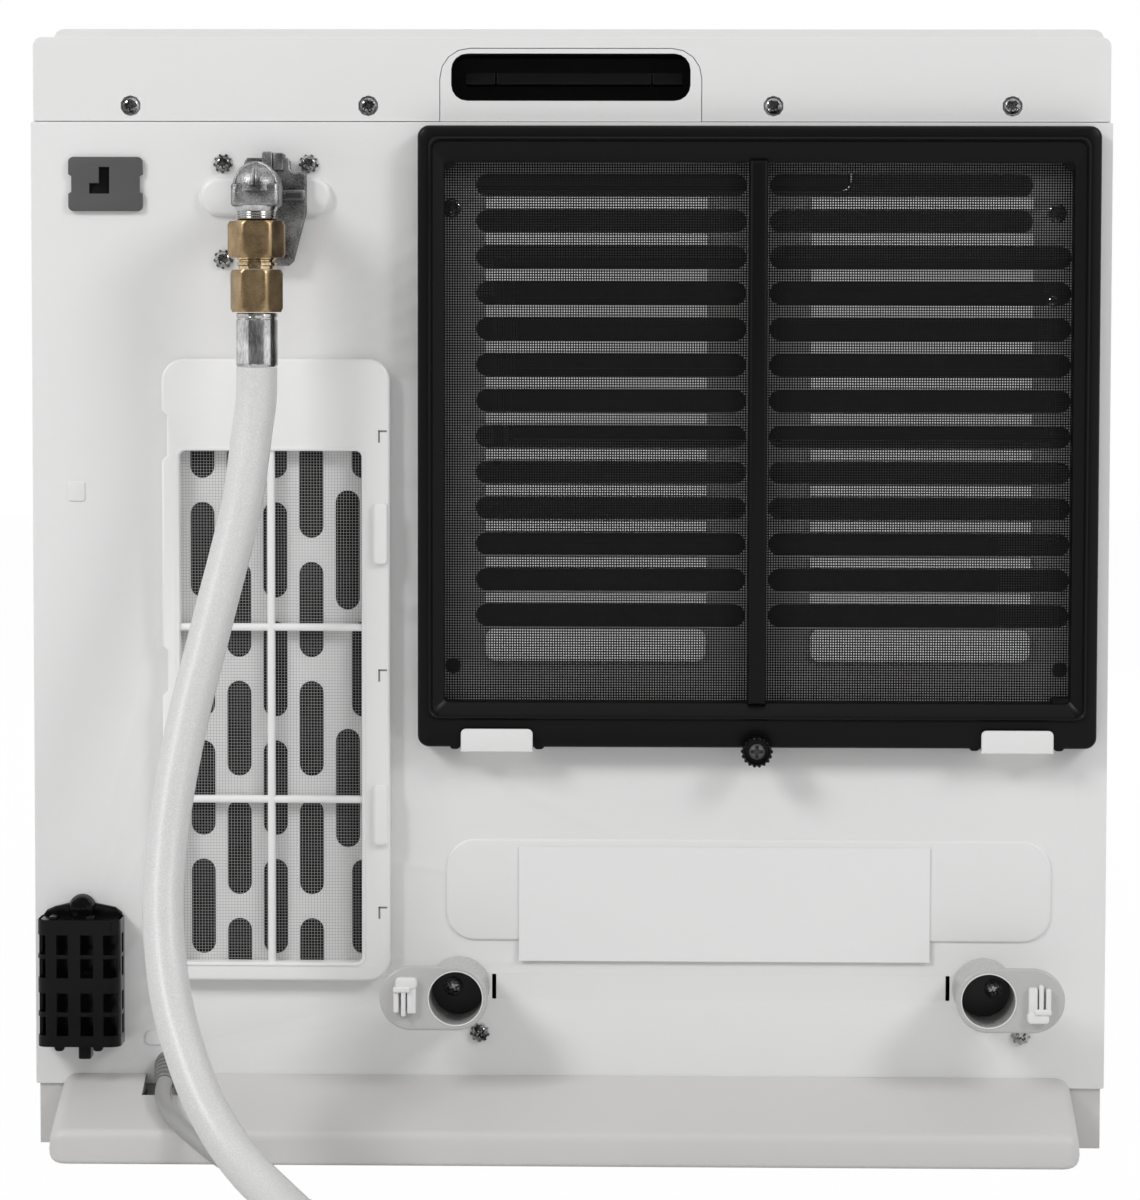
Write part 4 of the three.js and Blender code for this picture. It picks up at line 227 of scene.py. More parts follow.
# %% [markdown]
# Most of the heater is one of two finishes, painted steel and moulded plastic, in a few tones. They share
# one function: the tone, how rough it is, how coarse its grain is and how deep. A slow noise moves the tone
# by a few hundredths, as handling and uneven moulding do. The numbers of each finish below come in that
# order: tone from 0 to 1, roughness, grains per millimetre and depth in millimetres.

# %% Painted and moulded finishes
SLOW_GRAIN = 0.012


def moulded(name, tone, roughness, grains_per_mm, depth_mm, warmth=0.0, drift=0.03, **constants):
    """A finish of one tone with a fine grain and a slow drift."""
    recipe = new_material(name)
    slow = grain(recipe, SLOW_GRAIN, 3)
    fine = grain(recipe, grains_per_mm, 2)
    darker, lighter = [grey(tone * (1 + by), warmth) for by in (-drift, drift)]
    colour = blended(recipe, slow, darker, lighter)
    gloss = fine * 0.08 + slow * 0.06 + (roughness - 0.07)
    return finished(recipe, colour, gloss, relief(recipe, fine, depth_mm), **constants)


white_paint = moulded("white_paint", 0.81, 0.36, 0.9, 0.006, warmth=0.003, drift=0.012)
white_plastic = moulded("white_plastic", 0.8, 0.42, 2.2, 0.006, warmth=0.004, drift=0.012)
# A lighter copy of the white plastic for the burner's filter: painted light that lifts the shade falling on
# it.
painted_light_white = moulded("painted_light_white", 0.88, 0.42, 2.2, 0.006, warmth=0.004, drift=0.012)
grey_plastic = moulded("grey_plastic", 0.62, 0.45, 2.0, 0.01, warmth=0.012)
spacer_plastic = moulded("spacer_plastic", 0.5, 0.28, 2.0, 0.006, warmth=0.008)
plate_grey = moulded("plate_grey", 0.085, 0.5, 2.4, 0.012)
black_plastic = moulded("black_plastic", 0.005, 0.34, 2.0, 0.012, drift=0.15, Specular_IOR_Level=0.14)
gloss_black = moulded("gloss_black", 0.005, 0.16, 1.2, 0.006, drift=0.15, Specular_IOR_Level=0.15)
# Black lifted a little for the hand recess: painted light, since little light reaches into the recess.
recess_painted_light_black = moulded("recess_painted_light_black", 0.03, 0.3, 2.0, 0.01, drift=0.15, Specular_IOR_Level=0.3)
# A near-black grey put where only shade is: painted shade in the spacers' bores, the plinth's pocket and
# the bracket's notch.
painted_shade_grey = moulded("painted_shade_grey", 0.045, 0.4, 2.0, 0.01, drift=0.1, Specular_IOR_Level=0.3)
dark_glass = moulded("dark_glass", 0.006, 0.07, 0.4, 0.001, drift=0.1, Coat_Weight=0.5)
label_paper = moulded("label_paper", 0.84, 0.38, 4.0, 0.004, warmth=0.002, drift=0.006)
board_green = moulded("board_green", 0.05, 0.35, 1.0, 0.02, drift=0.2)
ceramic = moulded("ceramic", 0.78, 0.25, 1.0, 0.01, warmth=0.04)
cord_plastic = moulded("cord_plastic", 0.34, 0.34, 1.5, 0.01, warmth=0.01)
sleeve_plastic = moulded("sleeve_plastic", 0.22, 0.4, 1.5, 0.01, warmth=0.01)
print("moulded finishes ready")

# %% [markdown]
# Metals need less colour and more relief. Cast zinc is pitted by the die and stays dull, brass from the
# bar has fine turning lines and warm stains, and a plated ferrule is bright. Each takes its noise as both
# tone and bump, and two of them stretch it along the way in which the tool moved. The numbers of each are
# its light and dark tones, roughness, grains per millimetre and depth in millimetres.

# %% Metals
STAIN_GRAIN, STAIN_STOPS = 0.12, [(0.36, 0), (0.62, 1)]


def metal(name, light, dark, roughness, grains_per_mm, depth_mm, stretch=None):
    """A metal that noise stains from dark to light."""
    recipe = new_material(name)
    fine = grain(recipe, grains_per_mm, 3, stretch)
    slow = grain(recipe, STAIN_GRAIN, 3)
    stain = recipe.node("ShaderNodeValToRGB", {0: slow * 0.6 + fine * 0.4}, stops=STAIN_STOPS)
    colour = blended(recipe, stain, dark, light)
    gloss = fine * 0.16 + slow * 0.1 + (roughness - 0.13)
    return finished(recipe, colour, gloss, relief(recipe, fine, depth_mm), Metallic=1.0)


cast_zinc = metal("cast_zinc", grey(0.5), grey(0.07), 0.34, 1.7, 0.16)
bracket_zinc = metal("bracket_zinc", grey(0.32), grey(0.05), 0.42, 1.7, 0.16)
turned_brass = metal("turned_brass", (0.9, 0.78, 0.56, 1), (0.4, 0.28, 0.14, 1), 0.12, 0.8, 0.01)
brass = metal("brass", (0.5, 0.36, 0.2, 1), (0.24, 0.165, 0.09, 1), 0.33, 0.9, 0.012, (1, 1, 4))
plated_steel = metal("plated_steel", grey(0.72), grey(0.34), 0.2, 1.6, 0.006, (1, 1, 0.2))
# Plated heads in a low, patchy tone: painted dark reflection, and for the screws behind the net painted
# shade too.
dark_chrome = metal("dark_chrome", grey(0.5), grey(0.03), 0.11, 1.2, 0.01)
# Near-black steel for the works inside and the duct behind the ovals: painted shade, the darkness of the
# hollow seen through the slots.
painted_shade_steel = metal("painted_shade_steel", grey(0.035), grey(0.014), 0.5, 0.35, 0.004)
print("metals ready")

# %% [markdown]
# The hose is clear plastic with a milky wall, so light enters it and comes back softly. A little
# subsurface does that, and a thin coat gives the long narrow highlight. Fine speckles are the braid that
# shows through the wall.

# %% Hose finish
recipe = new_material("milky_hose")
braid = grain(recipe, 1.4, 1)
slow = grain(recipe, 0.03, 2)
speckle = recipe.node("ShaderNodeValToRGB", {0: braid}, stops=[(0.42, 0), (0.66, 1)])
hose_colour = blended(recipe, speckle * 0.55 + slow * 0.3, grey(0.66, 0.004), grey(0.8, 0.004))
milky_hose = finished(
    recipe,
    hose_colour,
    braid * 0.12 + 0.36,
    relief(recipe, braid, 0.02),
    Subsurface_Weight=0.25,
    Subsurface_Radius=(0.004, 0.004, 0.004),
    Coat_Weight=0.15,
    Coat_Roughness=0.3,
)
print("hose finish ready")

# %% [markdown]
# A dust filter is a plain weave with a thread every millimetre or so. Real threads would be half a million
# faces, so the sheet is flat and its Alpha says where a thread is: two sets of stripes, one along X and one
# along Z, and the union of both. Light passes the net on its way to the panel and again on its way back,
# which is why the white panel looks grey behind the black net.


# %% Woven nets
def woven(name, tone, pitch_mm, thread_share, roughness, **constants):
    """A net with threads that take up so much of each pitch."""
    recipe = new_material(name)
    spot = object_spot(recipe)
    split = [recipe.node("ShaderNodeSeparateXYZ", {0: spot}, output=axis) for axis in ("X", "Z")]
    threads = []
    for along in split:
        turns = along * (1 / (pitch_mm * MM))
        phase = recipe.node("ShaderNodeMath", {0: turns}, operation="FRACT")
        threads.append(phase < thread_share)
    cover = threads[0].or_more(threads[1])
    slow = grain(recipe, 0.05, 2)
    colour = blended(recipe, slow, grey(tone * 0.9), grey(tone * 1.1))
    crown = threads[0] * 0.5 + threads[1]
    raised = relief(recipe, crown, 0.05)
    return finished(recipe, colour, slow * 0.1 + roughness, raised, Alpha=cover, **constants)


black_weave = woven("black_weave", 0.011, 1.12, 0.5, 0.4, Specular_IOR_Level=0.12)
white_weave = woven("white_weave", 0.42, 1.3, 0.11, 0.5)
print("nets ready")

# %% [markdown]
# The CAD solids are exact but their edges are knife sharp, and a sharp edge catches no light. Where a
# solid's shape is right it stays, and a few modifiers finish it: Weld joins the triangles' corners,
# Decimate takes out the flat seams between them, Bevel rounds what is left, so each edge gets its
# highlight, and Weighted Normal keeps the flats flat. The solids that aren't in the list below are
# modelled again further on.


# %% Dressing the CAD nodes
def dress(name, material, edge_mm, segments):
    """Gives a CAD node its finish and soft edges."""
    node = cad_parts[name]
    node.data.materials.clear()
    node.data.materials.append(material)
    for polygon in node.data.polygons:
        polygon.use_smooth = True
    weld = node.modifiers.new("weld", "WELD")
    weld.merge_threshold = 0.00001
    flat = node.modifiers.new("flat", "DECIMATE")
    flat.decimate_type = "DISSOLVE"
    flat.angle_limit = radians(1)
    edge = node.modifiers.new("edge", "BEVEL")
    edge.width = edge_mm * MM
    edge.segments = segments
    edge.limit_method = "ANGLE"
    edge.angle_limit = radians(32)
    edge.harden_normals = False
    normals = node.modifiers.new("normals", "WEIGHTED_NORMAL")
    normals.keep_sharp = True


KEYS = ["power_button", "cooler_button", "warmer_button", "timer_button"]
# The works inside take the near-black steel: painted shade, since behind the slots and ovals they lie in
# shadow.
WORKS = ["fan_housing", "fan_rotor", "fan_motor", "combustion_chamber", "burner", "gas_pipe"]
DRESSES = (  # finish, edge in millimetres, segments, nodes
    (grey_plastic, 2.6, 4, ["base_tray"]),
    (grey_plastic, 1.0, 3, ["power_plug"]),
    (white_paint, 0.3, 2, ["left_side_panel", "right_side_panel"]),
    (white_plastic, 1.1, 3, ["top_cover"]),
    (white_plastic, 0.9, 3, ["handle_bezel"]),
    (white_plastic, 0.8, 3, ["front_panel"]),
    (recess_painted_light_black, 0.5, 2, ["handle_cup"]),
    (black_plastic, 0.6, 2, ["outlet_grille", "tip_over_switch"]),
    (black_plastic, 0.3, 2, ["room_thermistor"]),
    (gloss_black, 0.5, 2, ["control_panel"]),
    (dark_glass, 0.3, 2, ["display_window"]),
    (spacer_plastic, 0.4, 2, KEYS),
    (label_paper, 0.05, 2, ["label_plate"]),
    (board_green, 0.2, 2, ["control_board", "main_board"]),
    (painted_shade_steel, 0.2, 2, WORKS),
    (ceramic, 0.2, 2, ["spark_electrode", "flame_sensor"]),
    (cast_zinc, 0.8, 2, ["gas_valve"]),
    (brass, 0.4, 2, ["hose_bayonet"]),
)
for material, edge_mm, segments, names in DRESSES:
    for name in names:
        dress(name, material, edge_mm, segments)
print("dressed", sum(len(names) for *_, names in DRESSES), "of", len(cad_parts), "nodes")

# %% [markdown]
# A hose and a cord are lengths of something flexible. Each is one open curve with a round bevel, through
# the same points as its CAD solids. A centripetal Catmull-Rom curve smooths the free stretch, because it
# passes through its points without overshooting between them.


# %% Routes
def between(a, b, c, d, share):
    """A point of the centripetal Catmull-Rom curve between b and c."""
    knots = [0.0]
    for one, other in ((a, b), (b, c), (c, d)):
        knots.append(knots[-1] + max((other - one).length, 1e-9) ** 0.5)
    t = knots[1] + share * (knots[2] - knots[1])

    def towards(p, q, start, end):
        return p + (q - p) * ((t - start) / (end - start))

    low = towards(a, b, knots[0], knots[1])
    middle = towards(b, c, knots[1], knots[2])
    high = towards(c, d, knots[2], knots[3])
    return towards(
        towards(low, middle, knots[0], knots[2]),
        towards(middle, high, knots[1], knots[3]),
        knots[1],
        knots[2],
    )


def smooth(points, per_span):
    """A smooth curve through points, with so many steps between each two."""
    ends = [points[0] * 2 - points[1], *points, points[-1] * 2 - points[-2]]
    route = []
    for i in range(len(points) - 1):
        for k in range(per_span):
            route.append(between(*ends[i : i + 4], k / per_span))
    return [*route, points[-1]]


def heading(degrees):
    """A level direction, so many degrees round from X."""
    return Vector((cos(radians(degrees)), sin(radians(degrees)), 0))


def length_of(route):
    """The length of a route in its own units."""
    return sum((b - a).length for a, b in zip(route, route[1:]))


def ease(share):
    """From 0 to 1 with a soft start and end."""
    share = min(max(share, 0), 1)
    return share * share * (3 - 2 * share)


print("route helpers ready")

# %% [markdown]
# The hose leaves its ferrule straight down, leans out over the plinth and lies on the floor in one wide
# turn and part of a tighter one, as a stiff hose does. Its last stretch rises a little to the bayonet plug.

# %% Hose route
HOSE_RADIUS, HOSE_LIES, BAYONET_HEIGHT = 8.7, 9, 12.3
HOSE_EXIT = Vector((-132.5, -139, node_box("hose_ferrule")[2][0] - 0.3))
HOSE_RUN = [
    (-132.7, -139.1, 330.2),
    (-134.4, -140.2, 316.2),
    (-138.3, -144, 286.5),
    (-143.9, -148.5, 261.2),
    (-148.1, -152, 244.3),
    (-153, -157, 223.4),
    (-158, -162.5, 202.7),
    (-162, -168.5, 182),
    (-165.2, -175, 161.5),
    (-167, -182, 141.2),
    (-167.6, -190, 121.2),
    (-165.9, -198.5, 101.4),
    (-162.2, -208.5, 82),
    (-155.6, -220, 63.2),
    (-146.8, -232.3, 44.8),
    (-137, -243.6, 31.2),
    (-126.5, -256.2, 21.2),
    (-114.1, -273.4, 13.7),
    (-105.2, -290.8, 10.2),
    (-98.9, -308.4, 9),
    (-93.4, -325, 9),
    (-88, -341.5, 9),
]
LOOP_START = Vector((-81.5, -361.5, HOSE_LIES))
LOOP_HEADING, WIDE_TURN, TIGHT_TURN = -72, 240, 130
WIDE_RADIUS, TIGHT_RADIUS = 100, 70
RUN_STEPS, WIDE_STEPS, TIGHT_STEPS = 6, 50, 30


def clockwise(start, way, radius, turn, steps):
    """Points of an arc on the floor that turns clockwise, seen from above."""
    centre = start + heading(way - 90) * radius
    return [centre + heading(way + 90 - turn * k / steps) * radius for k in range(1, steps + 1)]


bend = LOOP_START + heading(LOOP_HEADING) * 2 * HOSE_RADIUS
wide = clockwise(bend, LOOP_HEADING, WIDE_RADIUS, WIDE_TURN, WIDE_STEPS)
tight = clockwise(wide[-1], LOOP_HEADING - WIDE_TURN, TIGHT_RADIUS, TIGHT_TURN, TIGHT_STEPS)
for i, point in enumerate(tight):
    point.z = HOSE_LIES + (BAYONET_HEIGHT - HOSE_LIES) * ease((i + 1) / len(tight))
tail = tight[-1] + heading(LOOP_HEADING - WIDE_TURN - TIGHT_TURN) * 2 * HOSE_RADIUS
hose_run = smooth([HOSE_EXIT, *map(Vector, HOSE_RUN), LOOP_START], RUN_STEPS)
hose_route = [*hose_run, bend, *wide, *tight, tail]
print("hose", round(length_of(hose_route)), "mm")

# %% [markdown]
# The cord leaves its strain relief down the slope, passes under the hose and ends in a flat coil of two
# layers: it winds inward on the floor, climbs by about its thickness and winds outward again on top.

# %% Cord route
CORD_RADIUS, CORD_LIES = 3.5, 3.8
RELIEF_START = Vector((-176.5, REAR, 35.4))
RELIEF_END = Vector((-176.5, REAR - 15, 30))
CORD_EXIT = RELIEF_END + (RELIEF_END - RELIEF_START).normalized() * 0.3
CORD_RUN = [
    (-176.5, -115.9, 27.6),
    (-175.8, -122, 25.5),
    (-173.8, -129, 23.1),
    (-171.1, -135.5, 20.9),
    (-167.6, -141.8, 18.5),
    (-162.1, -148.4, 15.1),
    (-155.3, -154.8, 11),
    (-147.8, -162.4, 7.2),
    (-139.8, -172.6, 4.7),
    (-132.5, -185, 3.8),
    (-126, -198, 3.8),
    (-119.5, -212, 3.8),
    (-113.2, -226, 3.8),
    (-106.8, -240, 3.8),
    (-99.8, -253.8, 3.8),
    (-90.5, -266.8, 3.8),
    (-78, -277.6, 3.8),
    (-62, -285, 3.8),
    (-43, -289.8, 3.8),
    (-24.5, -292.3, 3.8),
]
COIL = Vector((0, -345, CORD_LIES))
COIL_RADIUS, COIL_PITCH, COIL_LOOPS, COIL_TAIL, COIL_STEPS = 52, 7.6, 6.25, 45, 48
cord_coil = [COIL + Vector((-2 * CORD_RADIUS, COIL_RADIUS, 0))]
for k in range(int(COIL_LOOPS * COIL_STEPS) + 1):
    loops = k / COIL_STEPS
    reach = COIL_RADIUS - COIL_PITCH * min(loops, COIL_LOOPS - loops)
    climb = COIL_PITCH * ease((loops - COIL_LOOPS / 2 + 0.25) * 2)
    cord_coil.append(COIL + heading(90 - 360 * loops) * reach + Vector((0, 0, climb)))
cord_tail = cord_coil[-1] - Vector((0, COIL_TAIL, 0))
cord_run = smooth([CORD_EXIT, *map(Vector, CORD_RUN), cord_coil[0]], RUN_STEPS)
cord_route = [*cord_run, *cord_coil[1:], cord_tail]
print("cord", round(length_of(cord_route)), "mm")

# %% [markdown]
# A curve with a round bevel is a tube whose thickness and route can be changed at any time, which a mesh
# isn't.


# %% Hose and cord
def flexible(name, route, radius, material, stands_for):
    """One round length along a route, in place of its CAD solids."""
    curve = bpy.data.curves.new(name, "CURVE")
    curve.dimensions = "3D"
    curve.bevel_depth = radius * MM
    curve.bevel_resolution = 5
    curve.use_fill_caps = True
    curve.twist_mode = "MINIMUM"
    spline = curve.splines.new("POLY")
    spline.points.add(len(route) - 1)
    for point, spot in zip(spline.points, route):
        point.co = (*(spot * MM), 1)
    spline.use_smooth = True
    curve.materials.append(material)
    made = bpy.data.objects.new(name, curve)
    bpy.context.scene.collection.objects.link(made)
    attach(made, CABINET)
    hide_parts(*stands_for)
    return made


hose = flexible(
    "gas_hose",
    hose_route,
    HOSE_RADIUS,
    milky_hose,
    ("gas_hose_run", "gas_hose_coil"),
)
length_of(hose_route) * MM
cord = flexible(
    "power_cord",
    cord_route,
    CORD_RADIUS,
    cord_plastic,
    ("power_cord_run", "power_cord_coil"),
)
length_of(cord_route) * MM
print("hose and cord laid")

# %% [markdown]
# The pieces that the photograph shows close are modelled again, over the CAD solids they stand for. Most
# are stacks of outlines: a loop of points, the same loop a little higher and smaller, and so on, with
# quads between them. `Shape` gathers such points and faces, in millimetres, before they become a mesh.


# %% Gathering faces
class Shape:
    """Points (X, outward, height) in millimetres, and faces, gathered for one piece."""

    def __init__(self):
        self.points = []
        self.faces = []

    def loop(self, points):
        start = len(self.points)
        self.points.extend(points)
        return list(range(start, len(self.points)))

    def skin(self, loops):
        """Quads between each loop and the next, all of as many points."""
        for low, high in zip(loops, loops[1:]):
            for k in range(len(low)):
                n = (k + 1) % len(low)
                self.faces.append((low[k], low[n], high[n], high[k]))

    def stack(self, outlines, ring=False):
        """A skin over outlines, closed at both ends, or joined into a ring."""
        loops = [self.loop(points) for points in outlines]
        if ring:
            self.skin([*loops, loops[0]])
            return
        self.skin(loops)
        self.faces += [tuple(loops[0]), tuple(loops[-1])]


def piece(name, shape, material, stands_for=(), body=CABINET, edge=0.0, sharp=38):
    """Makes an object of a shape, rides it on a body and gives it a soft edge where asked."""
    mesh = bpy.data.meshes.new(name)
    mesh.from_pydata([place(*point) for point in shape.points], [], shape.faces)
    work = bmesh.new()
    work.from_mesh(mesh)
    bmesh.ops.remove_doubles(work, verts=work.verts, dist=0.00001)
    bmesh.ops.recalc_face_normals(work, faces=work.faces)
    work.to_mesh(mesh)
    work.free()
    mesh.shade_smooth()
    if not edge:
        mesh.set_sharp_from_angle(angle=radians(sharp))
    mesh.materials.append(material)
    made = bpy.data.objects.new(name, mesh)
    bpy.context.scene.collection.objects.link(made)
    if edge:
        bevel = made.modifiers.new("edge", "BEVEL")
        bevel.width = edge * MM
        bevel.segments = 2
        bevel.limit_method = "ANGLE"
        bevel.angle_limit = radians(sharp)
        made.modifiers.new("normals", "WEIGHTED_NORMAL").keep_sharp = True
    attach(made, body)
    if stands_for:
        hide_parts(*stands_for)
    print(name, len(mesh.polygons), "faces")


# %% [markdown]
# An outline lies flat, as pairs of X and height. A pressed or moulded form almost never has a sharp
# corner, so the rectangle with round corners is the one used most. Small helpers keep the sums short.


# %% Flat outlines
def rounded(x, z, radius, steps=6):
    """A rectangle's (X, height) points with round corners, anticlockwise from the lower right."""
    corners = ((x[1], z[0], -1, 1), (x[1], z[1], -1, -1), (x[0], z[1], 1, -1), (x[0], z[0], 1, 1))
    points = []
    for turn, (corner_x, corner_z, inward_x, inward_z) in enumerate(corners):
        centre = (corner_x + inward_x * radius, corner_z + inward_z * radius)
        for k in range(steps + 1):
            angle = radians(-90 + 90 * (turn + k / steps))
            points.append((centre[0] + radius * cos(angle), centre[1] + radius * sin(angle)))
    return points


def circle(x, z, radius, steps=32):
    """A circle's (X, height) points."""
    return [(x + radius * cos(tau * k / steps), z + radius * sin(tau * k / steps)) for k in range(steps)]


def at(outline, out):
    """The outline's points at a distance outward."""
    return [(x, out, z) for x, z in outline]


def inset(span, by):
    """A span that is shorter by so much at each end."""
    return (span[0] + by, span[1] - by)


def around(middle, half):
    """A span of so much on each side of its middle."""
    return (middle - half, middle + half)


print("outline helpers ready")

# %% [markdown]
# Two kinds of solid come from stacks of outlines. A pillow is a block whose front edge is rolled over in a
# quarter round, which suits embosses, bars and lugs. A turned form is a section carried round an axis, as
# on a lathe, and a wave on its rim makes knurls, teeth or crimps.

# %% Pillows and turned forms
OUTWARD, UPWARD, DOWNWARD = (0, 1, 0), (0, 0, 1), (0, 0, -1)
ROLL_STEPS = 3
SMALLEST = 0.02


def pillow(shape, x, z, low, high, radius, edge, steps=6):
    """A block from low to high outward, with round corners and a round front edge."""
    outlines = [at(rounded(x, z, radius, steps), low)]
    for k in range(ROLL_STEPS + 1):
        angle = radians(90 * k / ROLL_STEPS)
        by = edge * (1 - cos(angle))
        outline = rounded(inset(x, by), inset(z, by), max(radius - by, SMALLEST), steps)
        outlines.append(at(outline, high - edge + edge * sin(angle)))
    shape.stack(outlines)


def spoke(across, third, angle):
    """The direction at an angle in the plane of two directions."""
    return across * cos(angle) + third * sin(angle)


def turned(shape, profile, base, axis, steps=36, wave=None):
    """A turned form from pairs of radius and height along an axis, plain or with a wavy rim."""
    axis = Vector(axis).normalized()
    across = Vector((1, 0, 0)) if abs(axis.x) < 0.5 else Vector((0, 0, 1))
    across = (across - axis * across.dot(axis)).normalized()
    third = axis.cross(across)
    outlines = []
    for radius, height in profile:
        middle = Vector(base) + axis * height
        outline = []
        for k in range(steps):
            angle = tau * k / steps
            reach = max(radius, SMALLEST) + (wave(angle, radius) if wave else 0)
            outline.append(tuple(middle + spoke(across, third, angle) * reach))
        outlines.append(outline)
    shape.stack(outlines)


print("solid helpers ready")

# %% [markdown]
# A sheet with many holes is hard to mesh by hand. Blender fills a flat curve and cuts the loops that lie
# inside it, gives it a thickness and rounds its edges, so a plate is made as such a curve and taken over
# as a mesh.


# %% Plates
def plate(shape, outline, holes, low, high, edge=0.3):
    """A flat plate with holes and a round edge, by way of a filled flat curve."""
    curve = bpy.data.curves.new("plate", "CURVE")
    curve.dimensions = "2D"
    curve.fill_mode = "BOTH"
    curve.extrude = (high - low) / 2 - edge
    curve.bevel_depth = edge
    curve.bevel_resolution = 2
    curve.offset = -edge
    for loop in (outline, *holes):
        spline = curve.splines.new("POLY")
        spline.points.add(len(loop) - 1)
        for point, spot in zip(spline.points, loop):
            point.co = (*spot, 0, 1)
        spline.use_cyclic_u = True
    holder = bpy.data.objects.new("plate", curve)
    flat = bpy.data.meshes.new_from_object(holder)
    start = len(shape.points)
    middle = (low + high) / 2
    shape.points += [(v.co.x, middle + v.co.z, v.co.y) for v in flat.vertices]
    shape.faces += [tuple(start + i for i in face.vertices) for face in flat.polygons]
    bpy.data.objects.remove(holder)
    bpy.data.curves.remove(curve)
    bpy.data.meshes.remove(flat)


print("plate helper ready")

# %% [markdown]
# The rear panel is one pressed steel sheet. Its air slots are thirteen rows in two columns, and behind the
# burner's filter are staggered ovals. They are plain holes in the sheet, so each is only a loop for the
# plate, worked out from the filters' places and a pitch.

# %% Openings in the rear panel
PANEL_X, PANEL_Z = (-235, 235), node_box("rear_panel")[2]
FAN_X, _, FAN_Z = node_box("fan_filter_frame")
BURNER_X, _, BURNER_Z = node_box("burner_filter_frame")
FAN_MIDDLE = sum(FAN_X) / 2
SLOT_ROWS, SHORT_ROWS, SLOT_HEIGHT, SLOT_PITCH = 13, 2, 9.8, 15.6
FIRST_SLOT = FAN_Z[1] - 25.3
SLOT_LEFT, SLOT_RIGHT, SHORT_SLOT_RIGHT, HALF_BRIDGE = 24.9, 11.5, 28.6, 5
OVAL_WIDTH, OVAL_HEIGHT, TALL_HEIGHT = 10.5, 41.8, 52.2
OVAL_LINES, OVAL_COLUMN, OVAL_ROW = 5, 15.9, 52.3
OVALS_LEFT, OVALS_LOW, OVALS_CUT, OVAL_ASIDE = 17, 58, 3.3, 7
SPACERS = {"left": (-48.3, -1), "right": (181.6, 1)}
SPACER_HEIGHT = 70.7
SNAP_SLOT, SNAP_HALF = (14.5, 16.3), 5.5
FRAME_HOLES = ((-51, 212.1), (214, 211.1))


def slot(x, middle):
    """One air slot with half-round ends."""
    return rounded(x, around(middle, SLOT_HEIGHT / 2), SLOT_HEIGHT / 2, 8)


def air_slots():
    """Two columns of slots, with the first rows cut short beside the frame's corner."""
    slots = []
    for row in range(SLOT_ROWS):
        middle = FIRST_SLOT - row * SLOT_PITCH
        right = FAN_X[1] - (SHORT_SLOT_RIGHT if row < SHORT_ROWS else SLOT_RIGHT)
        slots.append(slot((FAN_X[0] + SLOT_LEFT, FAN_MIDDLE - HALF_BRIDGE), middle))
        slots.append(slot((FAN_MIDDLE + HALF_BRIDGE, right), middle))
    return slots


def ovals():
    """Five staggered columns. In the last one each second oval is tall and the rest lie aside."""
    found = []
    for column in range(OVAL_LINES):
        last = column == OVAL_LINES - 1
        first = BURNER_Z[0] + OVALS_LOW - (OVAL_ROW / 2 if column % 2 == 0 else OVAL_ROW)
        for row in range(OVAL_LINES):
            tall = last and row % 2 == 1
            height = first + row * OVAL_ROW
            half = (TALL_HEIGHT if tall else OVAL_HEIGHT) / 2
            aside = OVAL_ASIDE if last and not tall else 0
            middle = BURNER_X[0] + OVALS_LEFT + column * OVAL_COLUMN + aside
            span = (max(height - half, BURNER_Z[0] + OVALS_CUT), height + half)
            found.append(rounded(around(middle, OVAL_WIDTH / 2), span, OVAL_WIDTH / 2 - 0.01, 8))
    return found


def snap_slots():
    """The upright slits beside the spacers, which their snaps go into."""
    found = []
    for middle, side in SPACERS.values():
        near, far = sorted(middle - side * by for by in SNAP_SLOT)
        found.append(rounded((near, far), around(SPACER_HEIGHT, SNAP_HALF), 0.3, 2))
    return found


openings = [*air_slots(), *ovals(), *snap_slots(), *(circle(x, z, 3.4) for x, z in FRAME_HOLES)]
print(len(openings), "openings")

# %% [markdown]
# The press also raises parts of the sheet. The slots cross a field that stands two and a half millimetres
# proud, so the field is seen as strips between them. Round embosses carry the gas inlet and stiffen the
# foot. A real emboss is the sheet itself pushed out. Here each is a pillow that starts inside the sheet,
# which looks the same from outside and leaves the sheet's own mesh simple.

# %% Rear panel
EMBOSS_ROOT = -0.6
EMBOSSES = (  # X, height, how proud, corner, edge, steps
    ((-53.9, 211), (91.3, 136), 1.2, 12.5, 1.1, 8),
    ((-161.5, -103.5), (408, 425), 3.5, 8.4, 2.6, 10),
    ((-187, -178.2), (43.8, 50.4), 0.9, 2.4, 0.8, 6),
    ((-219.4, -212), (283.6, 292.4), 0.7, 1.2, 0.6, 6),
)
FIELDS, FIELD_LOW, FIELD_PROUD, STRIP_GAP = ((-37, 59.8), (104.6, 201)), 214.2, 2.62, 0.25
panel = Shape()
plate(panel, rounded(PANEL_X, PANEL_Z, 0.8, 3), openings, -PANEL_SHEET, 0, 0.25)
for x, z, proud, corner, edge, steps in EMBOSSES:
    pillow(panel, x, z, EMBOSS_ROOT, proud, corner, edge, steps)
for field in FIELDS:
    for row in range(SLOT_ROWS):
        top = FIRST_SLOT - row * SLOT_PITCH - SLOT_HEIGHT / 2 - STRIP_GAP
        if row < SLOT_ROWS - 1:
            low = FIRST_SLOT - (row + 1) * SLOT_PITCH + SLOT_HEIGHT / 2 + STRIP_GAP
            pillow(panel, field, (low, top), EMBOSS_ROOT, FIELD_PROUD, 0.3, 0.5, 2)
        else:
            pillow(panel, field, (FIELD_LOW, top), EMBOSS_ROOT, FIELD_PROUD, 4.4, 0.9)
print("panel", len(panel.faces), "faces")

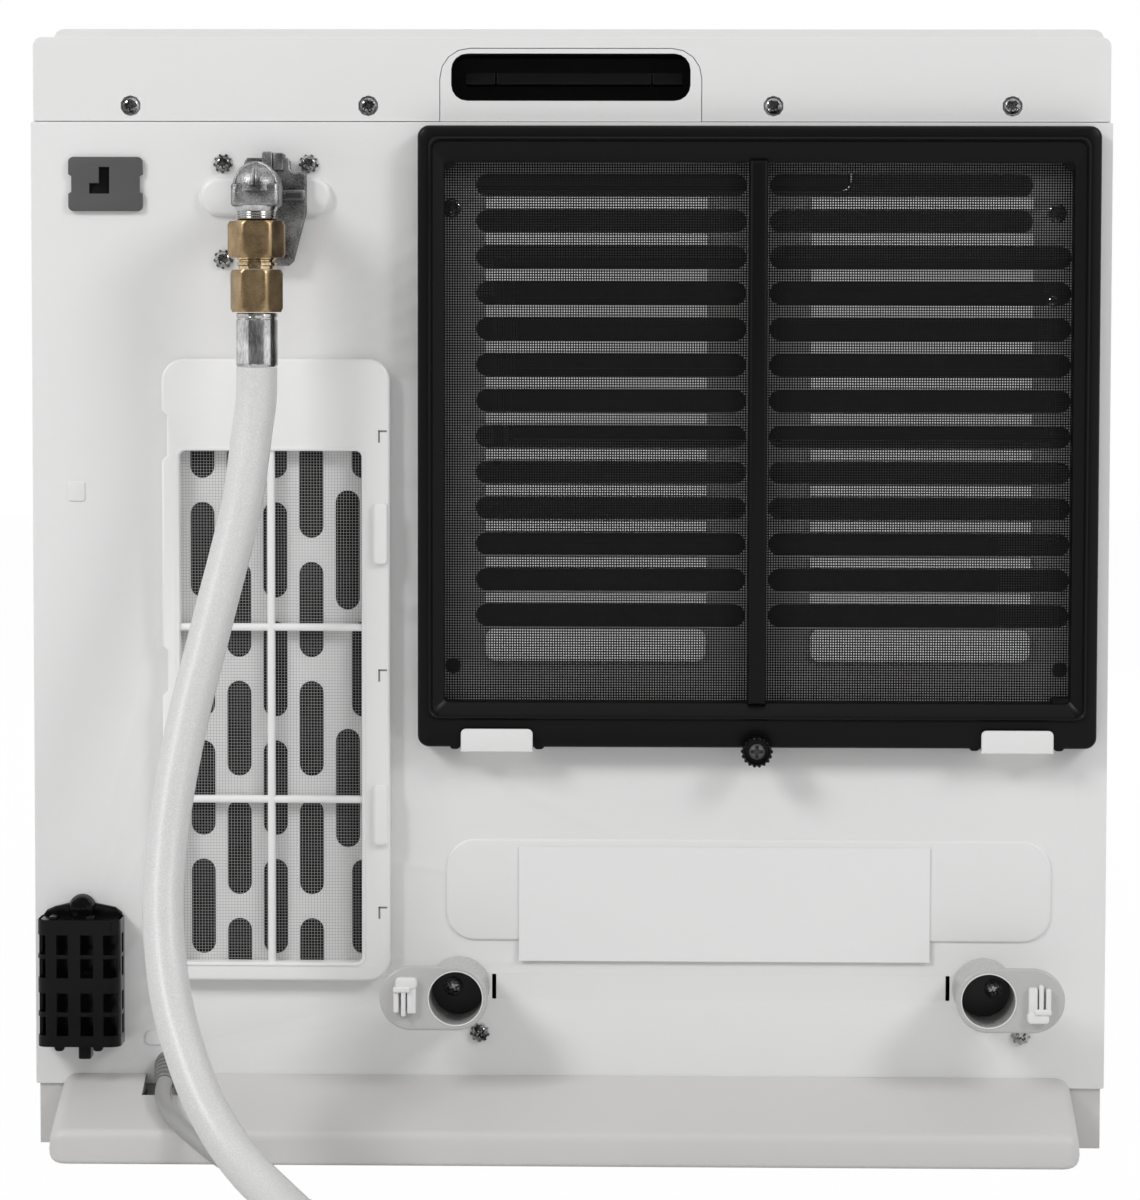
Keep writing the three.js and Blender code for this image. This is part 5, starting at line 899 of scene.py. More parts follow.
# %% [markdown]
# Air for the burner comes in through the ovals into a sheet metal duct. From outside only its darkness
# shows, so it is a plain open box of two skins, one inside the other, whose open side faces the panel. Its
# near-black finish is painted shade, the dark of the hollow behind the ovals. Its place and depth are a
# guess.

# %% Air duct behind the ovals
DUCT_X, DUCT_Z, DUCT_OUT, DUCT_CORNER = (-232, -69.5), (61, 350), (-1.3, -30), 6
duct = Shape()
for thin in (0, 1):
    outline = rounded(inset(DUCT_X, thin), inset(DUCT_Z, thin), DUCT_CORNER - thin)
    walls = [duct.loop(at(outline, out)) for out in (DUCT_OUT[0], DUCT_OUT[1] + thin)]
    duct.skin(walls)
    duct.faces.append(tuple(walls[1]))
piece("painted_shade_duct", duct, painted_shade_steel)

# %% [markdown]
# Two tabs are bent out of the sheet below the fan's filter, and its frame stands behind them. Each is a
# shelf and an upright, and the upright's free corners are round so that they don't cut a hand.

# %% Filter tabs
TAB_WIDTH, TAB_ASIDE, TAB_RISE = 31.2, 19, 8.2
TABS = (FAN_X[0] + TAB_ASIDE, FAN_X[1] - TAB_ASIDE - TAB_WIDTH)
SHELF = (FAN_Z[0] - 1.8, FAN_Z[0] - 0.3)
for left in TABS:
    span = (left, left + TAB_WIDTH)
    pillow(panel, span, SHELF, EMBOSS_ROOT, 15.6, 0.3, 0.3, 2)
    pillow(panel, span, (SHELF[0], FAN_Z[0] + TAB_RISE), 14.3, 15.8, 2.2, 0.5)
piece("panel_sheet", panel, white_paint, ["rear_panel"])

# %% [markdown]
# Each filter is a moulded frame with a net welded behind it. The black frame is one section carried round
# a rectangle: an outer wall, a flat face, a fine bead and a wall that slopes in to the window. The section
# is given as insets from the outside, and differs at the bottom and the top, where the frame is deeper. A
# bar parts its two windows, and small studs and guides at its corners and tabs keep it in place.

# %% Fan filter frame
FAN_SECTION = (  # side, bottom, top, corner, outward
    (0.0, 0.0, 0.0, 5.0, 0.3),
    (0.0, 0.0, 0.0, 5.0, 10.6),
    (0.4, 0.4, 0.4, 4.8, 11.7),
    (1.3, 1.3, 1.3, 4.4, 12.3),
    (4.5, 12.0, 4.7, 4.2, 12.6),
    (4.9, 12.4, 5.1, 4.2, 13.6),
    (5.4, 12.9, 5.6, 4.0, 14.0),
    (6.0, 13.5, 6.2, 3.8, 13.5),
    (6.6, 14.3, 7.0, 3.4, 11.9),
    (11.2, 19.0, 14.6, 2.6, 9.6),
    (11.5, 19.6, 15.6, 2.4, 8.8),
    (11.5, 19.6, 15.6, 2.4, 0.3),
)
FAN_WINDOW_X = inset(FAN_X, FAN_SECTION[-1][0])
FAN_WINDOW_Z = (FAN_Z[0] + FAN_SECTION[-1][1], FAN_Z[1] - FAN_SECTION[-1][2])
MULLION_HALF, STUD = 4, ((5.5, 0), (5.5, 3.4), (5.0, 3.9))
filter_frame = Shape()
outlines = []
for side, bottom, top, corner, out in FAN_SECTION:
    height = (FAN_Z[0] + bottom, FAN_Z[1] - top)
    outlines.append(at(rounded(inset(FAN_X, side), height, corner, 8), out))
filter_frame.stack(outlines, ring=True)
pillow(filter_frame, around(FAN_MIDDLE, MULLION_HALF), inset(FAN_WINDOW_Z, -1), 5.0, 11.4, 0.3, 1.6, 2)
for x in FAN_WINDOW_X:
    turned(filter_frame, STUD, (x, 5.1, FAN_WINDOW_Z[1] + 2.2), OUTWARD)
for left in TABS:
    right = left + TAB_WIDTH
    for span in ((left - 5, left - 0.4), (right + 0.4, right + 5)):
        pillow(filter_frame, span, (FAN_Z[0] - 1.0, FAN_Z[0] + 2.5), 4, 11.6, 1.6, 0.4)
step_x = (FAN_WINDOW_X[1] - 7.6, FAN_WINDOW_X[1] + 1)
step_z = (FAN_WINDOW_Z[0] - 1, FAN_WINDOW_Z[0] + 2.2)
pillow(filter_frame, step_x, step_z, 1, 8.6, 0.6, 0.4)
piece(
    "fan_filter_surround",
    filter_frame,
    black_plastic,
    ["fan_filter_frame"],
    "fan_filter",
)

# %% [markdown]
# A net is a flat sheet, and its weave is in the material. It is cut into cells, and it reaches a little
# under the frame all round, where the real one is welded.

# %% Nets
NET_CELLS = 12


def net(name, x, z, out, material, stands_for, body):
    """A flat sheet of cells behind a filter's window."""
    sheet = Shape()
    for row in range(NET_CELLS + 1):
        height = z[0] + (z[1] - z[0]) * row / NET_CELLS
        columns = [x[0] + (x[1] - x[0]) * column / NET_CELLS for column in range(NET_CELLS + 1)]
        sheet.loop([(across, out, height) for across in columns])
    for row in range(NET_CELLS):
        for column in range(NET_CELLS):
            corner = row * (NET_CELLS + 1) + column
            above = corner + NET_CELLS + 1
            sheet.faces.append((corner, corner + 1, above + 1, above))
    piece(name, sheet, material, [stands_for], body)


net(
    "fan_filter_weave",
    inset(FAN_WINDOW_X, -1.5),
    inset(FAN_WINDOW_Z, -1.5),
    2.7,
    black_weave,
    "fan_filter_net",
    "fan_filter",
)

# %% [markdown]
# The burner's filter is white, with six windows in a thin frame. Round bars cross it, a bead runs round the
# whole opening, and its left edge has two shallow notches where it hooks in. Two raised grips on the right
# are where a finger pulls it open. Three small L-shaped slits at its right edge are not cut: thin dark
# strips on its face are their painted shade.

# %% Burner filter
BURNER_WINDOW_X = (BURNER_X[0] + 7.8, BURNER_X[1] - 12.3)
BURNER_WINDOW_Z = (BURNER_Z[0] + 8.3, BURNER_Z[1] - 40)
BURNER_BEAD = ((6.6, -1.7, 4.2), (7.9, -1.5, 4.0), (8.0, -1.0, 3.6), (7.6, -0.2, 2.8), (1.5, 0.1, 2.6))
BURNER_BARS, HALF_BAR = (153.6, 229.1), 1.6
NOTCHES, NOTCH_DEEP = ((322.5, 303.0), (219.7, 200.2)), 2.3
GRIP_X, GRIP_TOPS, GRIP_HEIGHT = (-85.4, -79.0), (283.7, 160.8), 27
SLIT_X, SLIT_TOPS = (BURNER_X[1] - 5, BURNER_X[1] - 1.2), (315.2, 211, 106.8)


def burner_outline():
    """A rounded rectangle with two notches let into its left side."""
    steps = 8
    points = rounded(BURNER_X, BURNER_Z, 9.5, steps)
    left = []
    for high, low in NOTCHES:
        for deep, z in ((0, high + 1), (NOTCH_DEEP, high - 1), (NOTCH_DEEP, low + 1), (0, low - 1)):
            left.append((BURNER_X[0] + deep, z))
    before = 3 * (steps + 1)
    return points[:before] + left + points[before:]


burner = Shape()
plate(burner, burner_outline(), [rounded(BURNER_WINDOW_X, BURNER_WINDOW_Z, 2.6)], 0.3, 7.4, 1.4)
bead = []
for out, by, corner in BURNER_BEAD:
    bead.append(at(rounded(inset(BURNER_WINDOW_X, by), inset(BURNER_WINDOW_Z, by), corner), out))
burner.stack(bead, ring=True)
upright_bar = around(sum(BURNER_WINDOW_X) / 2, HALF_BAR)
pillow(burner, upright_bar, inset(BURNER_WINDOW_Z, -1), 2.6, 6.9, 0.3, 1.3, 2)
for height in BURNER_BARS:
    pillow(burner, inset(BURNER_WINDOW_X, -1), around(height, HALF_BAR), 2.6, 6.7, 0.3, 1.3, 2)
for top in GRIP_TOPS:
    pillow(burner, GRIP_X, (top - GRIP_HEIGHT, top), 5, 10.3, 2.0, 1.2)
# The slits are thin dark grey strips on the frame's face: painted shade, not cuts.
slits = Shape()
for top in SLIT_TOPS:
    pillow(slits, SLIT_X, (top - 0.8, top), 7, 7.5, 0.1, 0.05, 2)
    pillow(slits, (SLIT_X[0], SLIT_X[0] + 0.8), (top - 5.4, top), 7, 7.5, 0.1, 0.05, 2)
piece("slit_shade_strips", slits, sleeve_plastic, body="burner_filter")
# The filter's lighter white is painted light against the shade on it.
piece(
    "burner_filter_surround",
    burner,
    painted_light_white,
    ["burner_filter_frame"],
    "burner_filter",
)
net(
    "burner_filter_weave",
    inset(BURNER_WINDOW_X, -1),
    inset(BURNER_WINDOW_Z, -1),
    2.3,
    white_weave,
    "burner_filter_net",
    "burner_filter",
)

# %% [markdown]
# All the screws are pan heads with a cross recess, some on a toothed washer that bites into the paint. A
# head is a grid of rings whose height is a low dome less the recess, so the cross is real relief and not
# a picture of one.

# %% Screw heads
SCREW_RINGS, SCREW_STEPS = 11, 48
RECESS_WIDTH, RECESS_DEPTH, RECESS_REACH = 0.17, 0.75, 0.62
RIM_SHARE, DOME_POWER = 0.45, 3.2
WASHER = ((1, 0), (3.8, 0), (3.9, 0.5), (3.5, 0.9), (1, 1.0))
TOOTH, TEETH = 0.4, 9


def screw_head(shape, x, z, base, radius, height, turn, cross=RECESS_REACH):
    """A pan head with a cross recess, from base outward."""
    arm, width, depth = radius * cross, radius * RECESS_WIDTH, height * RECESS_DEPTH
    outlines = []
    for ring in range(SCREW_RINGS):
        share = 1 - ring / SCREW_RINGS
        outline = []
        for k in range(SCREW_STEPS):
            angle = tau * k / SCREW_STEPS
            across = share * radius * cos(angle)
            along = share * radius * sin(angle)
            near = min(abs(across), abs(along))
            far = max(abs(across), abs(along))
            cut = ease((width - near) / 0.25 + 0.5) * ease((arm - far) / 0.5 + 0.5)
            dome = RIM_SHARE + (1 - RIM_SHARE) * (1 - share**DOME_POWER)
            rise = height * dome - depth * cut
            spin = angle + radians(turn)
            reach = share * radius
            outline.append((x + reach * cos(spin), base + rise, z + reach * sin(spin)))
        outlines.append(outline)
    foot = [(px, base, pz) for px, _, pz in outlines[0]]
    shape.stack([foot, *outlines])


def toothed(angle, radius):
    """A washer's rim steps in and out."""
    return TOOTH * (1 if sin(angle * TEETH) > 0 else -1) if radius > 3 else 0


def toothed_screw(x, z, turn):
    """A screw head on a washer with teeth, on the panel's face."""
    shape = Shape()
    turned(shape, WASHER, (x, 0.05, z), OUTWARD, 72, toothed)
    screw_head(shape, x, z, 0.95, 3.4, 2.0, turn)
    return shape


print("screw helpers ready")

# %% [markdown]
# The screws of a row are each turned by their own angle, as a hand leaves them. The three behind the fan's
# filter have no washer and are joined into one piece, since they never move apart.

# %% Screws
INLET_SCREWS = ((-151.15, 430.8), (-113.85, 430.8), (-151.15, 389.3))
FOOT_SCREWS = (("left", -39.2, 50.3), ("right", 198.4, 50.4))
HIDDEN_SCREWS = ((-51.5, 411.6, 4.1, 1.8), (211, 409.7, 4.1, 1.8), (209.8, 371.6, 2.4, 1.2))
COVER_RADIUS, COVER_HEIGHT = 3.9, 2.4
for number, (x, z) in enumerate(INLET_SCREWS, 1):
    head = toothed_screw(x, z, 17 * number)
    stands_for = [f"inlet_screw_{number}"]
    piece(f"inlet_screw_head_{number}", head, dark_chrome, stands_for)
for name, x, z in FOOT_SCREWS:
    piece(f"foot_screw_{name}", toothed_screw(x, z, 40), dark_chrome)
for number in (1, 2, 3, 4):
    (left, right), (_, high), (bottom, top) = node_box(f"cover_screw_{number}")
    x, z, base = (left + right) / 2, (bottom + top) / 2, high - COVER_HEIGHT
    head = Shape()
    screw_head(head, x, z, base, COVER_RADIUS, COVER_HEIGHT, 12 * number)
    stands_for = [f"cover_screw_{number}"]
    piece(f"cover_screw_head_{number}", head, dark_chrome, stands_for)
behind = Shape()
for x, z, radius, height in HIDDEN_SCREWS:
    screw_head(behind, x, z, 0, radius, height, 30)
piece("panel_screws", behind, dark_chrome)

# %% [markdown]
# The gas inlet is a cast zinc elbow with a ribbed dome, bolted through a cast bracket. Two brass nuts and a
# crimped steel ferrule join it to the hose. A hexagon bar is turned at its ends, so its corners are cut by
# a cone and each flat ends in a curve. The nuts' outlines take the smaller of the hexagon and that cone.

# %% Hexagon nuts
INLET = (-132.5, 45, 419)
NUT_STEPS = 72


def on_axis(height):
    """A point of the inlet's upright axis."""
    return (INLET[0], INLET[1], height)


def hexagon(apothem, turn_degrees, corner):
    """How far a nut's outline reaches at an angle, cut off at the corner radius."""

    def reach(angle):
        off = (angle + radians(turn_degrees)) % (tau / 6) - tau / 12
        return min(apothem / cos(off), corner)

    return reach


def hex_nut(shape, top, height, apothem, turn_degrees):
    """A nut from its top down, with both ends turned to a cone."""
    full = apothem / cos(tau / 12)
    levels = [(0, 0.35), (0.5, 0.55), (1.6, 1)]
    levels += [(height - drop, share) for drop, share in reversed(levels)]
    outlines = [[on_axis(top)] * NUT_STEPS]
    for drop, share in levels:
        reach = hexagon(apothem, turn_degrees, apothem + (full - apothem) * share)
        outline = []
        for k in range(NUT_STEPS):
            angle = tau * k / NUT_STEPS
            far = reach(angle)
            outline.append((INLET[0] + far * cos(angle), INLET[1] + far * sin(angle), top - drop))
        outlines.append(outline)
    outlines.append([on_axis(top - height)] * NUT_STEPS)
    shape.stack(outlines)


print("nut helpers ready")

# %% [markdown]
# The union nut pulls the hose's tail against the elbow, and the second nut is part of that tail. Between
# them the tail shows as a short turned neck with two collars. Its finish is brighter than the nuts' flats,
# because a lathe leaves a finer surface than a drawn bar has.

# %% Gas nuts
UNION_HEIGHT, UNION_APOTHEM, TAIL_HEIGHT, TAIL_APOTHEM, NUT_TURN = 15.6, 10.7, 18, 9.9, 4
NECK = ((8.3, 0), (8.3, 0.6), (7.6, 1.0), (7.6, 1.6), (8.5, 2.0), (8.5, 3.2), (7.7, 3.6), (7.7, 4.7))
union_top = node_box("inlet_union_nut")[2][1]
tail_top = node_box("hose_tail_nut")[2][1]
union = Shape()
hex_nut(union, union_top, UNION_HEIGHT, UNION_APOTHEM, NUT_TURN)
piece("union_nut", union, brass, ["inlet_union_nut"])
tail_neck = Shape()
turned(tail_neck, NECK, on_axis(union_top - UNION_HEIGHT), DOWNWARD)
piece("tail_neck", tail_neck, turned_brass)
tail_nut = Shape()
hex_nut(tail_nut, tail_top, TAIL_HEIGHT, TAIL_APOTHEM, -NUT_TURN)
piece("tail_nut", tail_nut, brass, ["hose_tail_nut"])

# %% [markdown]
# The ferrule is a thin steel sleeve squeezed onto the hose. A press with seven jaws leaves seven shallow
# waves round it, and a groove near its top keeps the hose from slipping off.

# %% Crimped ferrule
JAWS, CRIMP = 7, 0.15
ferrule_low, ferrule_top = node_box("hose_ferrule")[2]
ferrule_length = ferrule_top - ferrule_low
FERRULE_GROOVE = ((8.8, 0.6), (8.8, 1.7), (8.4, 2.1), (8.4, 2.7), (8.8, 3.1))


def crimped(angle, radius):
    """The ferrule's outer wall waves where the jaws pressed it."""
    return CRIMP * cos(JAWS * angle) if radius > 8.6 else 0


ferrule = Shape()
sleeve = [(7.4, 0), (8.4, 0.1), *FERRULE_GROOVE]
sleeve += [(8.8, ferrule_length - 1.6), (8.9, ferrule_length - 0.9)]
sleeve += [(8.5, ferrule_length), (7.4, ferrule_length)]
turned(ferrule, sleeve, on_axis(ferrule_top), DOWNWARD, 96, crimped)
piece("crimped_ferrule", ferrule, plated_steel, ["hose_ferrule"])

# %% [markdown]
# The elbow turns the gas from level to downward. It is cast with a domed back over a square block, and
# four ribs run over the dome. The dome and the stem are turned forms, the block is a stack of outlines,
# and each rib is a thin bar bent over the dome.


# %% Elbow
def tube(shape, points, radius, steps=10):
    """A round bar through points."""
    outlines = []
    for i, point in enumerate(points):
        before, after = points[max(i - 1, 0)], points[min(i + 1, len(points) - 1)]
        ahead = (Vector(after) - Vector(before)).normalized()
        across = ahead.cross(Vector((0.31, 0.17, 0.94))).normalized()
        third = ahead.cross(across)
        rim = [spoke(across, third, tau * k / steps) * radius for k in range(steps)]
        outlines.append([tuple(Vector(point) + side) for side in rim])
    shape.stack(outlines)


DOME_RADIUS, DOME_RISE = 9.9, 0.6
RIB_SIDES, RIB_RADIUS = (-62, -5, 5, 62), 0.75
BLOCK_HALF_X, BLOCK_HALF_OUT, BLOCK_BACK, BLOCK_TOP = 10.3, 9.6, 1.2, 1.3
BLOCK_LEVELS = ((9.4, 0.9), (8.6, 0.1), (7.8, 0), (0.8, 0), (0.1, 0.2), (-0.4, 0.9))
STEM = ((8, -3), (8, 30), (9.6, 34), (10.3, 37))
elbow = Shape()
x, out, z = INLET
quarter = [radians(9 * k) for k in range(11)]
dome = [(DOME_RADIUS * cos(lift), DOME_RADIUS * sin(lift)) for lift in quarter]
turned(elbow, ((DOME_RADIUS, -2), *dome), (x, out, z + DOME_RISE), UPWARD, 48)
for side in RIB_SIDES:
    facing = radians(side)
    rib = []
    for k in range(13):
        lift = radians(7.5 * k)
        reach = DOME_RADIUS * cos(lift)
        rise = z + DOME_RISE + DOME_RADIUS * sin(lift)
        rib.append((x + reach * sin(facing), out + reach * cos(facing), rise))
    tube(elbow, rib, RIB_RADIUS)
block = []
for drop, by in BLOCK_LEVELS:
    deep = around(out - BLOCK_BACK, BLOCK_HALF_OUT - by)
    outline = rounded(around(x, BLOCK_HALF_X - by), deep, 2.4)
    block.append([(px, pout, z + BLOCK_TOP - drop) for px, pout in outline])
elbow.stack(block)
turned(elbow, (*STEM, (BLOCK_HALF_X, out)), (x, 0, z), OUTWARD, 40)
piece("cast_elbow", elbow, cast_zinc, ["gas_elbow"])

# %% [markdown]
# Below the block comes a plated collar with a thread for the union nut. A turned form can't wind, so the
# thread is a row of rings, which looks the same where only a few turns show.

# %% Elbow collar
SHOULDER = ((9.4, 7.6), (8.9, 9.4), (8.5, 10.0))
thread = [(8.1 if k % 2 else 8.75, 10.2 + 0.5 * k) for k in range(8)]
collar = Shape()
turned(collar, (*SHOULDER, *thread, (7.4, 13.8)), (x, out, z), DOWNWARD, 48)
piece("elbow_collar", collar, plated_steel)

# %% [markdown]
# The bracket is a zinc casting too. Its plate narrows downward, and lugs stand out of it above and beside
# the elbow. It is duller than the elbow, so it has its own finish. A small dark grey strip on the right lug
# is painted shade, where the casting has a small notch.

# %% Bracket
BRACKET = (
    (-8.5, -32.6),
    (10.5, -32.6),
    (12.7, -30.6),
    (18.2, -9.6),
    (18.2, 7.2),
    (17.4, 7.7),
    (12.6, 7.7),
    (11.2, 9.2),
    (11.2, 12.6),
    (9.8, 14),
    (-7.4, 14),
    (-8.5, 12.6),
)
LUGS = (  # X and height from the inlet's axis, from and to outward, corner, edge
    ((-0.2, 4.3), (8, 16.4), 4, 17, 0.8, 0.6),
    ((4.5, 9.0), (8.3, 15.9), 4, 16.6, 0.8, 0.6),
    ((-8.4, -0.4), (8, 12.6), 4, 13, 1.6, 1.0),
    ((8, 18), (-4.6, 0.2), 7, 12.5, 1.0, 0.8),
)
NOTCH_SHADE_STRIP = ((9.5, 16.4), (-3.4, -1.2), 12, 13.1, 0.6, 0.3)


def lug(shape, across, rise, low, high, corner, edge):
    """A pillow whose X and height count from the inlet's axis."""
    x, _, z = INLET
    pillow(shape, (x + across[0], x + across[1]), (z + rise[0], z + rise[1]), low, high, corner, edge)


bracket = Shape()
plate(bracket, [(x + px, z + pz) for px, pz in BRACKET], [], 3.8, 8.0, 0.9)
for measures in LUGS:
    lug(bracket, *measures)
piece("cast_bracket", bracket, bracket_zinc, ["inlet_bracket"])
# A dark grey strip on the right lug: painted shade of a notch.
shaded_notch = Shape()
lug(shaded_notch, *NOTCH_SHADE_STRIP)
piece("bracket_notch_shade", shaded_notch, painted_shade_grey)

# %% [markdown]
# The plinth is one soft moulding. A section that slopes down from the panel, rounded at its front, is
# carried from end to end and shrinks a little at the ends. A pocket at the top lets the cord's sleeve
# through. It comes from sections whose upper corner drops to the pocket's floor, and thin dark plates in it
# are painted shade, which gives it depth.

# %% Plinth
PLINTH_X, PLINTH_FRONT, PLINTH_EDGE, PLINTH_TOP = (-223.3, 220.4), 48.6, 14.2, 31.4
PLINTH_ENDS = ((0, 5.6), (0.35, 3.8), (1.3, 2.1), (2.8, 0.9), (5, 0.2), (7.5, 0))
PLINTH_BACK, FOOT_ROUND, FRONT_ROUND = 0.3, 2, 5
POCKET_X, POCKET_OUT = (-186.3, -166.7), 18.3
SLOPE = atan2(PLINTH_TOP - PLINTH_EDGE, PLINTH_FRONT)


def plinth_section(x, by, pocket=False):
    """The plinth's section at X, smaller by so much at its top and front."""
    front, edge = PLINTH_FRONT - by, PLINTH_EDGE - by

    def top_at(out):
        return edge + (front - out) * tan(SLOPE)

    low = by * 0.8
    section = [(PLINTH_BACK, low)]
    for turn in (0, 30, 60, 90):
        toe = front - FOOT_ROUND + FOOT_ROUND * sin(radians(turn))
        section.append((toe, low + FOOT_ROUND - FOOT_ROUND * cos(radians(turn))))
    nose = front - FRONT_ROUND
    middle = top_at(nose) - FRONT_ROUND / cos(SLOPE)
    for k in range(7):
        turn = (pi / 2 - SLOPE) * k / 6
        section.append((nose + FRONT_ROUND * cos(turn), middle + FRONT_ROUND * sin(turn)))
    section.append((POCKET_OUT, top_at(POCKET_OUT)))
    section.append((POCKET_OUT, PLINTH_EDGE) if pocket else (PLINTH_BACK, top_at(PLINTH_BACK)))
    section.append((PLINTH_BACK, PLINTH_EDGE))
    return [(x, out, z) for out, z in section]


sections = [plinth_section(PLINTH_X[0] + along, by) for along, by in PLINTH_ENDS]
for x, pocket in zip((POCKET_X[0], *POCKET_X, POCKET_X[1]), (False, True, True, False)):
    sections.append(plinth_section(x, 0, pocket))
sections += [plinth_section(PLINTH_X[1] - along, by) for along, by in reversed(PLINTH_ENDS)]
plinth = Shape()
plinth.stack(sections)
piece("plinth_moulding", plinth, grey_plastic, ["rear_plinth"])
# Thin dark plates in the pocket: painted shade.
painted_pocket_shade = Shape()
floor_z, side_z, front_z = (PLINTH_EDGE + 0.1, PLINTH_EDGE + 0.6), (PLINTH_EDGE, 24.4), (PLINTH_EDGE, 24.2)
pocket_end = POCKET_OUT - 0.1
pillow(painted_pocket_shade, POCKET_X, floor_z, 0.5, pocket_end, 0.3, 0.2, 2)
pillow(painted_pocket_shade, (POCKET_X[0], POCKET_X[0] + 0.4), side_z, 0.5, pocket_end, 0.1, 0.1, 2)
pillow(painted_pocket_shade, POCKET_X, front_z, POCKET_OUT - 0.5, pocket_end, 0.1, 0.1, 2)
piece("pocket_shade_plates", painted_pocket_shade, painted_shade_grey)

# %% [markdown]
# A small grey plate beside the inlet carries an L-shaped opening that shows the black insert behind it. It
# is cut with two shallow notches at its sides, which are let into the rounded outline half-way up.

# %% Type plate
NOTCH = ((0, 4.2), (1.3, 3.4), (1.3, -3.4), (0, -4.2))
L_LEFT, L_TOP, L_ARM = 9.2, 4.4, 4.5
(left, right), _, (bottom, top) = node_box("gas_type_plate")
middle = (bottom + top) / 2
corners = rounded((left, right), (bottom, top), 2.2)
quarter = len(corners) // 4
outline = corners[:quarter]
outline += [(right - by, middle - pz) for by, pz in NOTCH]
outline += corners[quarter : 3 * quarter]
outline += [(left + by, middle + pz) for by, pz in NOTCH]
outline += corners[3 * quarter :]
corner_x, corner_z = left + 17.9, top - 15.9
window = [
    (left + L_LEFT, corner_z),
    (corner_x, corner_z),
    (corner_x, top - L_TOP),
    (corner_x - L_ARM, top - L_TOP),
    (corner_x - L_ARM, corner_z + L_ARM),
    (left + L_LEFT, corner_z + L_ARM),
]
type_plate = Shape()
plate(type_plate, outline, [window], 0.3, 2.3, 0.35)
piece("type_plate", type_plate, plate_grey, ["gas_type_plate"])
insert = Shape()
pillow(insert, (left + 8, left + 19), (corner_z - 1, top - 3.4), 0.3, 0.9, 0.5, 0.2)
piece("type_insert", insert, gloss_black)

# %% [markdown]
# The spacers keep the heater off the wall. Each is a moulded tube with a long flange, and a white clip on
# the flange takes the end of the cord when it is wound round them. A thin white ring on the bore's rim is a
# painted highlight of its rounded edge. The tube is a turned wall round a deep bore, so its own shadow
# makes the bore dark, and a screw sits at its foot on a dark grey disc, which is painted shade. The right
# spacer is the left one turned half round, so `side` turns every measure over.


# %% Spacers
SPACER_REACH, FLANGE_RADIUS, FLANGE_OUT, BORE_RADIUS = 18.9, 14, (31, 35), 11.5
SPACER_WALL = ((13.5, 0.3), (12.9, 32), (11.6, 32), (11.6, 0.3))
RIM_HIGHLIGHT_RING = ((12.1, 34.8), (12, 35.2), (11.7, 35.2), (11.5, 34.8))
CLIP_PARTS = (  # along the flange, up, how proud, corner, edge
    ((16.5, 25.8), (4.4, 9.3), 38.6, 1.6, 0.8),
    ((19.6, 26.7), (3.0, 5.4), 39.4, 0.7, 0.6),
    ((17.0, 20.8), (-6.2, 5.0), 38.0, 0.6, 0.5),
    ((21.4, 23.3), (-7.4, 3.4), 39.0, 0.7, 0.6),
    ((24.4, 26.6), (-5.8, 3.4), 38.4, 0.7, 0.6),
)
SCREW_ASIDE = {"left": -2.2, "right": 4.4}


def stadium(x, far, z, radius, steps=16):
    """The outline of two half circles and the straight sides between them."""
    low, high = sorted((x, far))
    return rounded((low - radius, high + radius), around(z, radius), radius - 0.01, steps)


def rings(x, z, profile):
    """A circle at each pair of radius and distance outward."""
    return [at(circle(x, z, radius, 48), out) for radius, out in profile]


def spacer(name, x, z, side):
    """One spacer: its moulding, its clip with a painted rim highlight, a disc of painted shade at its foot
    and the screw on it.
    """
    shape = Shape()
    flange = stadium(x, x + side * SPACER_REACH, z, FLANGE_RADIUS)
    plate(shape, flange, [circle(x, z, BORE_RADIUS, 48)], *FLANGE_OUT, 1.1)
    shape.stack(rings(x, z, SPACER_WALL), ring=True)
    piece(f"spacer_moulding_{name}", shape, spacer_plastic, [f"spacer_{name}"])
    clip = Shape()
    for along, up, proud, corner, edge in CLIP_PARTS:
        across = tuple(sorted(x + side * by for by in along))
        upright = tuple(sorted(z - side * by for by in up))
        pillow(clip, across, upright, 34.5, proud, corner, edge)
    # The white ring on the bore's rim is a painted highlight of its rounded edge.
    clip.stack(rings(x, z, RIM_HIGHLIGHT_RING), ring=True)
    piece(f"spacer_clip_{name}", clip, white_plastic)
    # The dark grey disc at the bore's foot is painted shade.
    well = Shape()
    turned(well, ((BORE_RADIUS, 0.3), (BORE_RADIUS, 4.5), (1, 4.6)), (x, 0, z), OUTWARD, 40)
    piece(f"spacer_shade_disc_{name}", well, painted_shade_grey)
    deep = Shape()
    screw_head(deep, x + SCREW_ASIDE[name], z + 0.8, 4.6, 4.1, 2.4, 25)
    stands_for = [f"spacer_screw_{name}"]
    piece(f"spacer_screw_head_{name}", deep, dark_chrome, stands_for)


for name, (x, side) in SPACERS.items():
    spacer(name, x, SPACER_HEIGHT, side)

# %% [markdown]
# The room sensor hangs in a glossy black cage, so that air reaches it but nothing touches it. The cage is a
# bent skin: one side, a round corner, the front, a round corner and the other side, with windows cut
# through. It is made as a grid over the length along the skin and the height, with the windows' cells left
# out, and each kept cell gets an outer and an inner face and, beside an open cell, an edge between them.

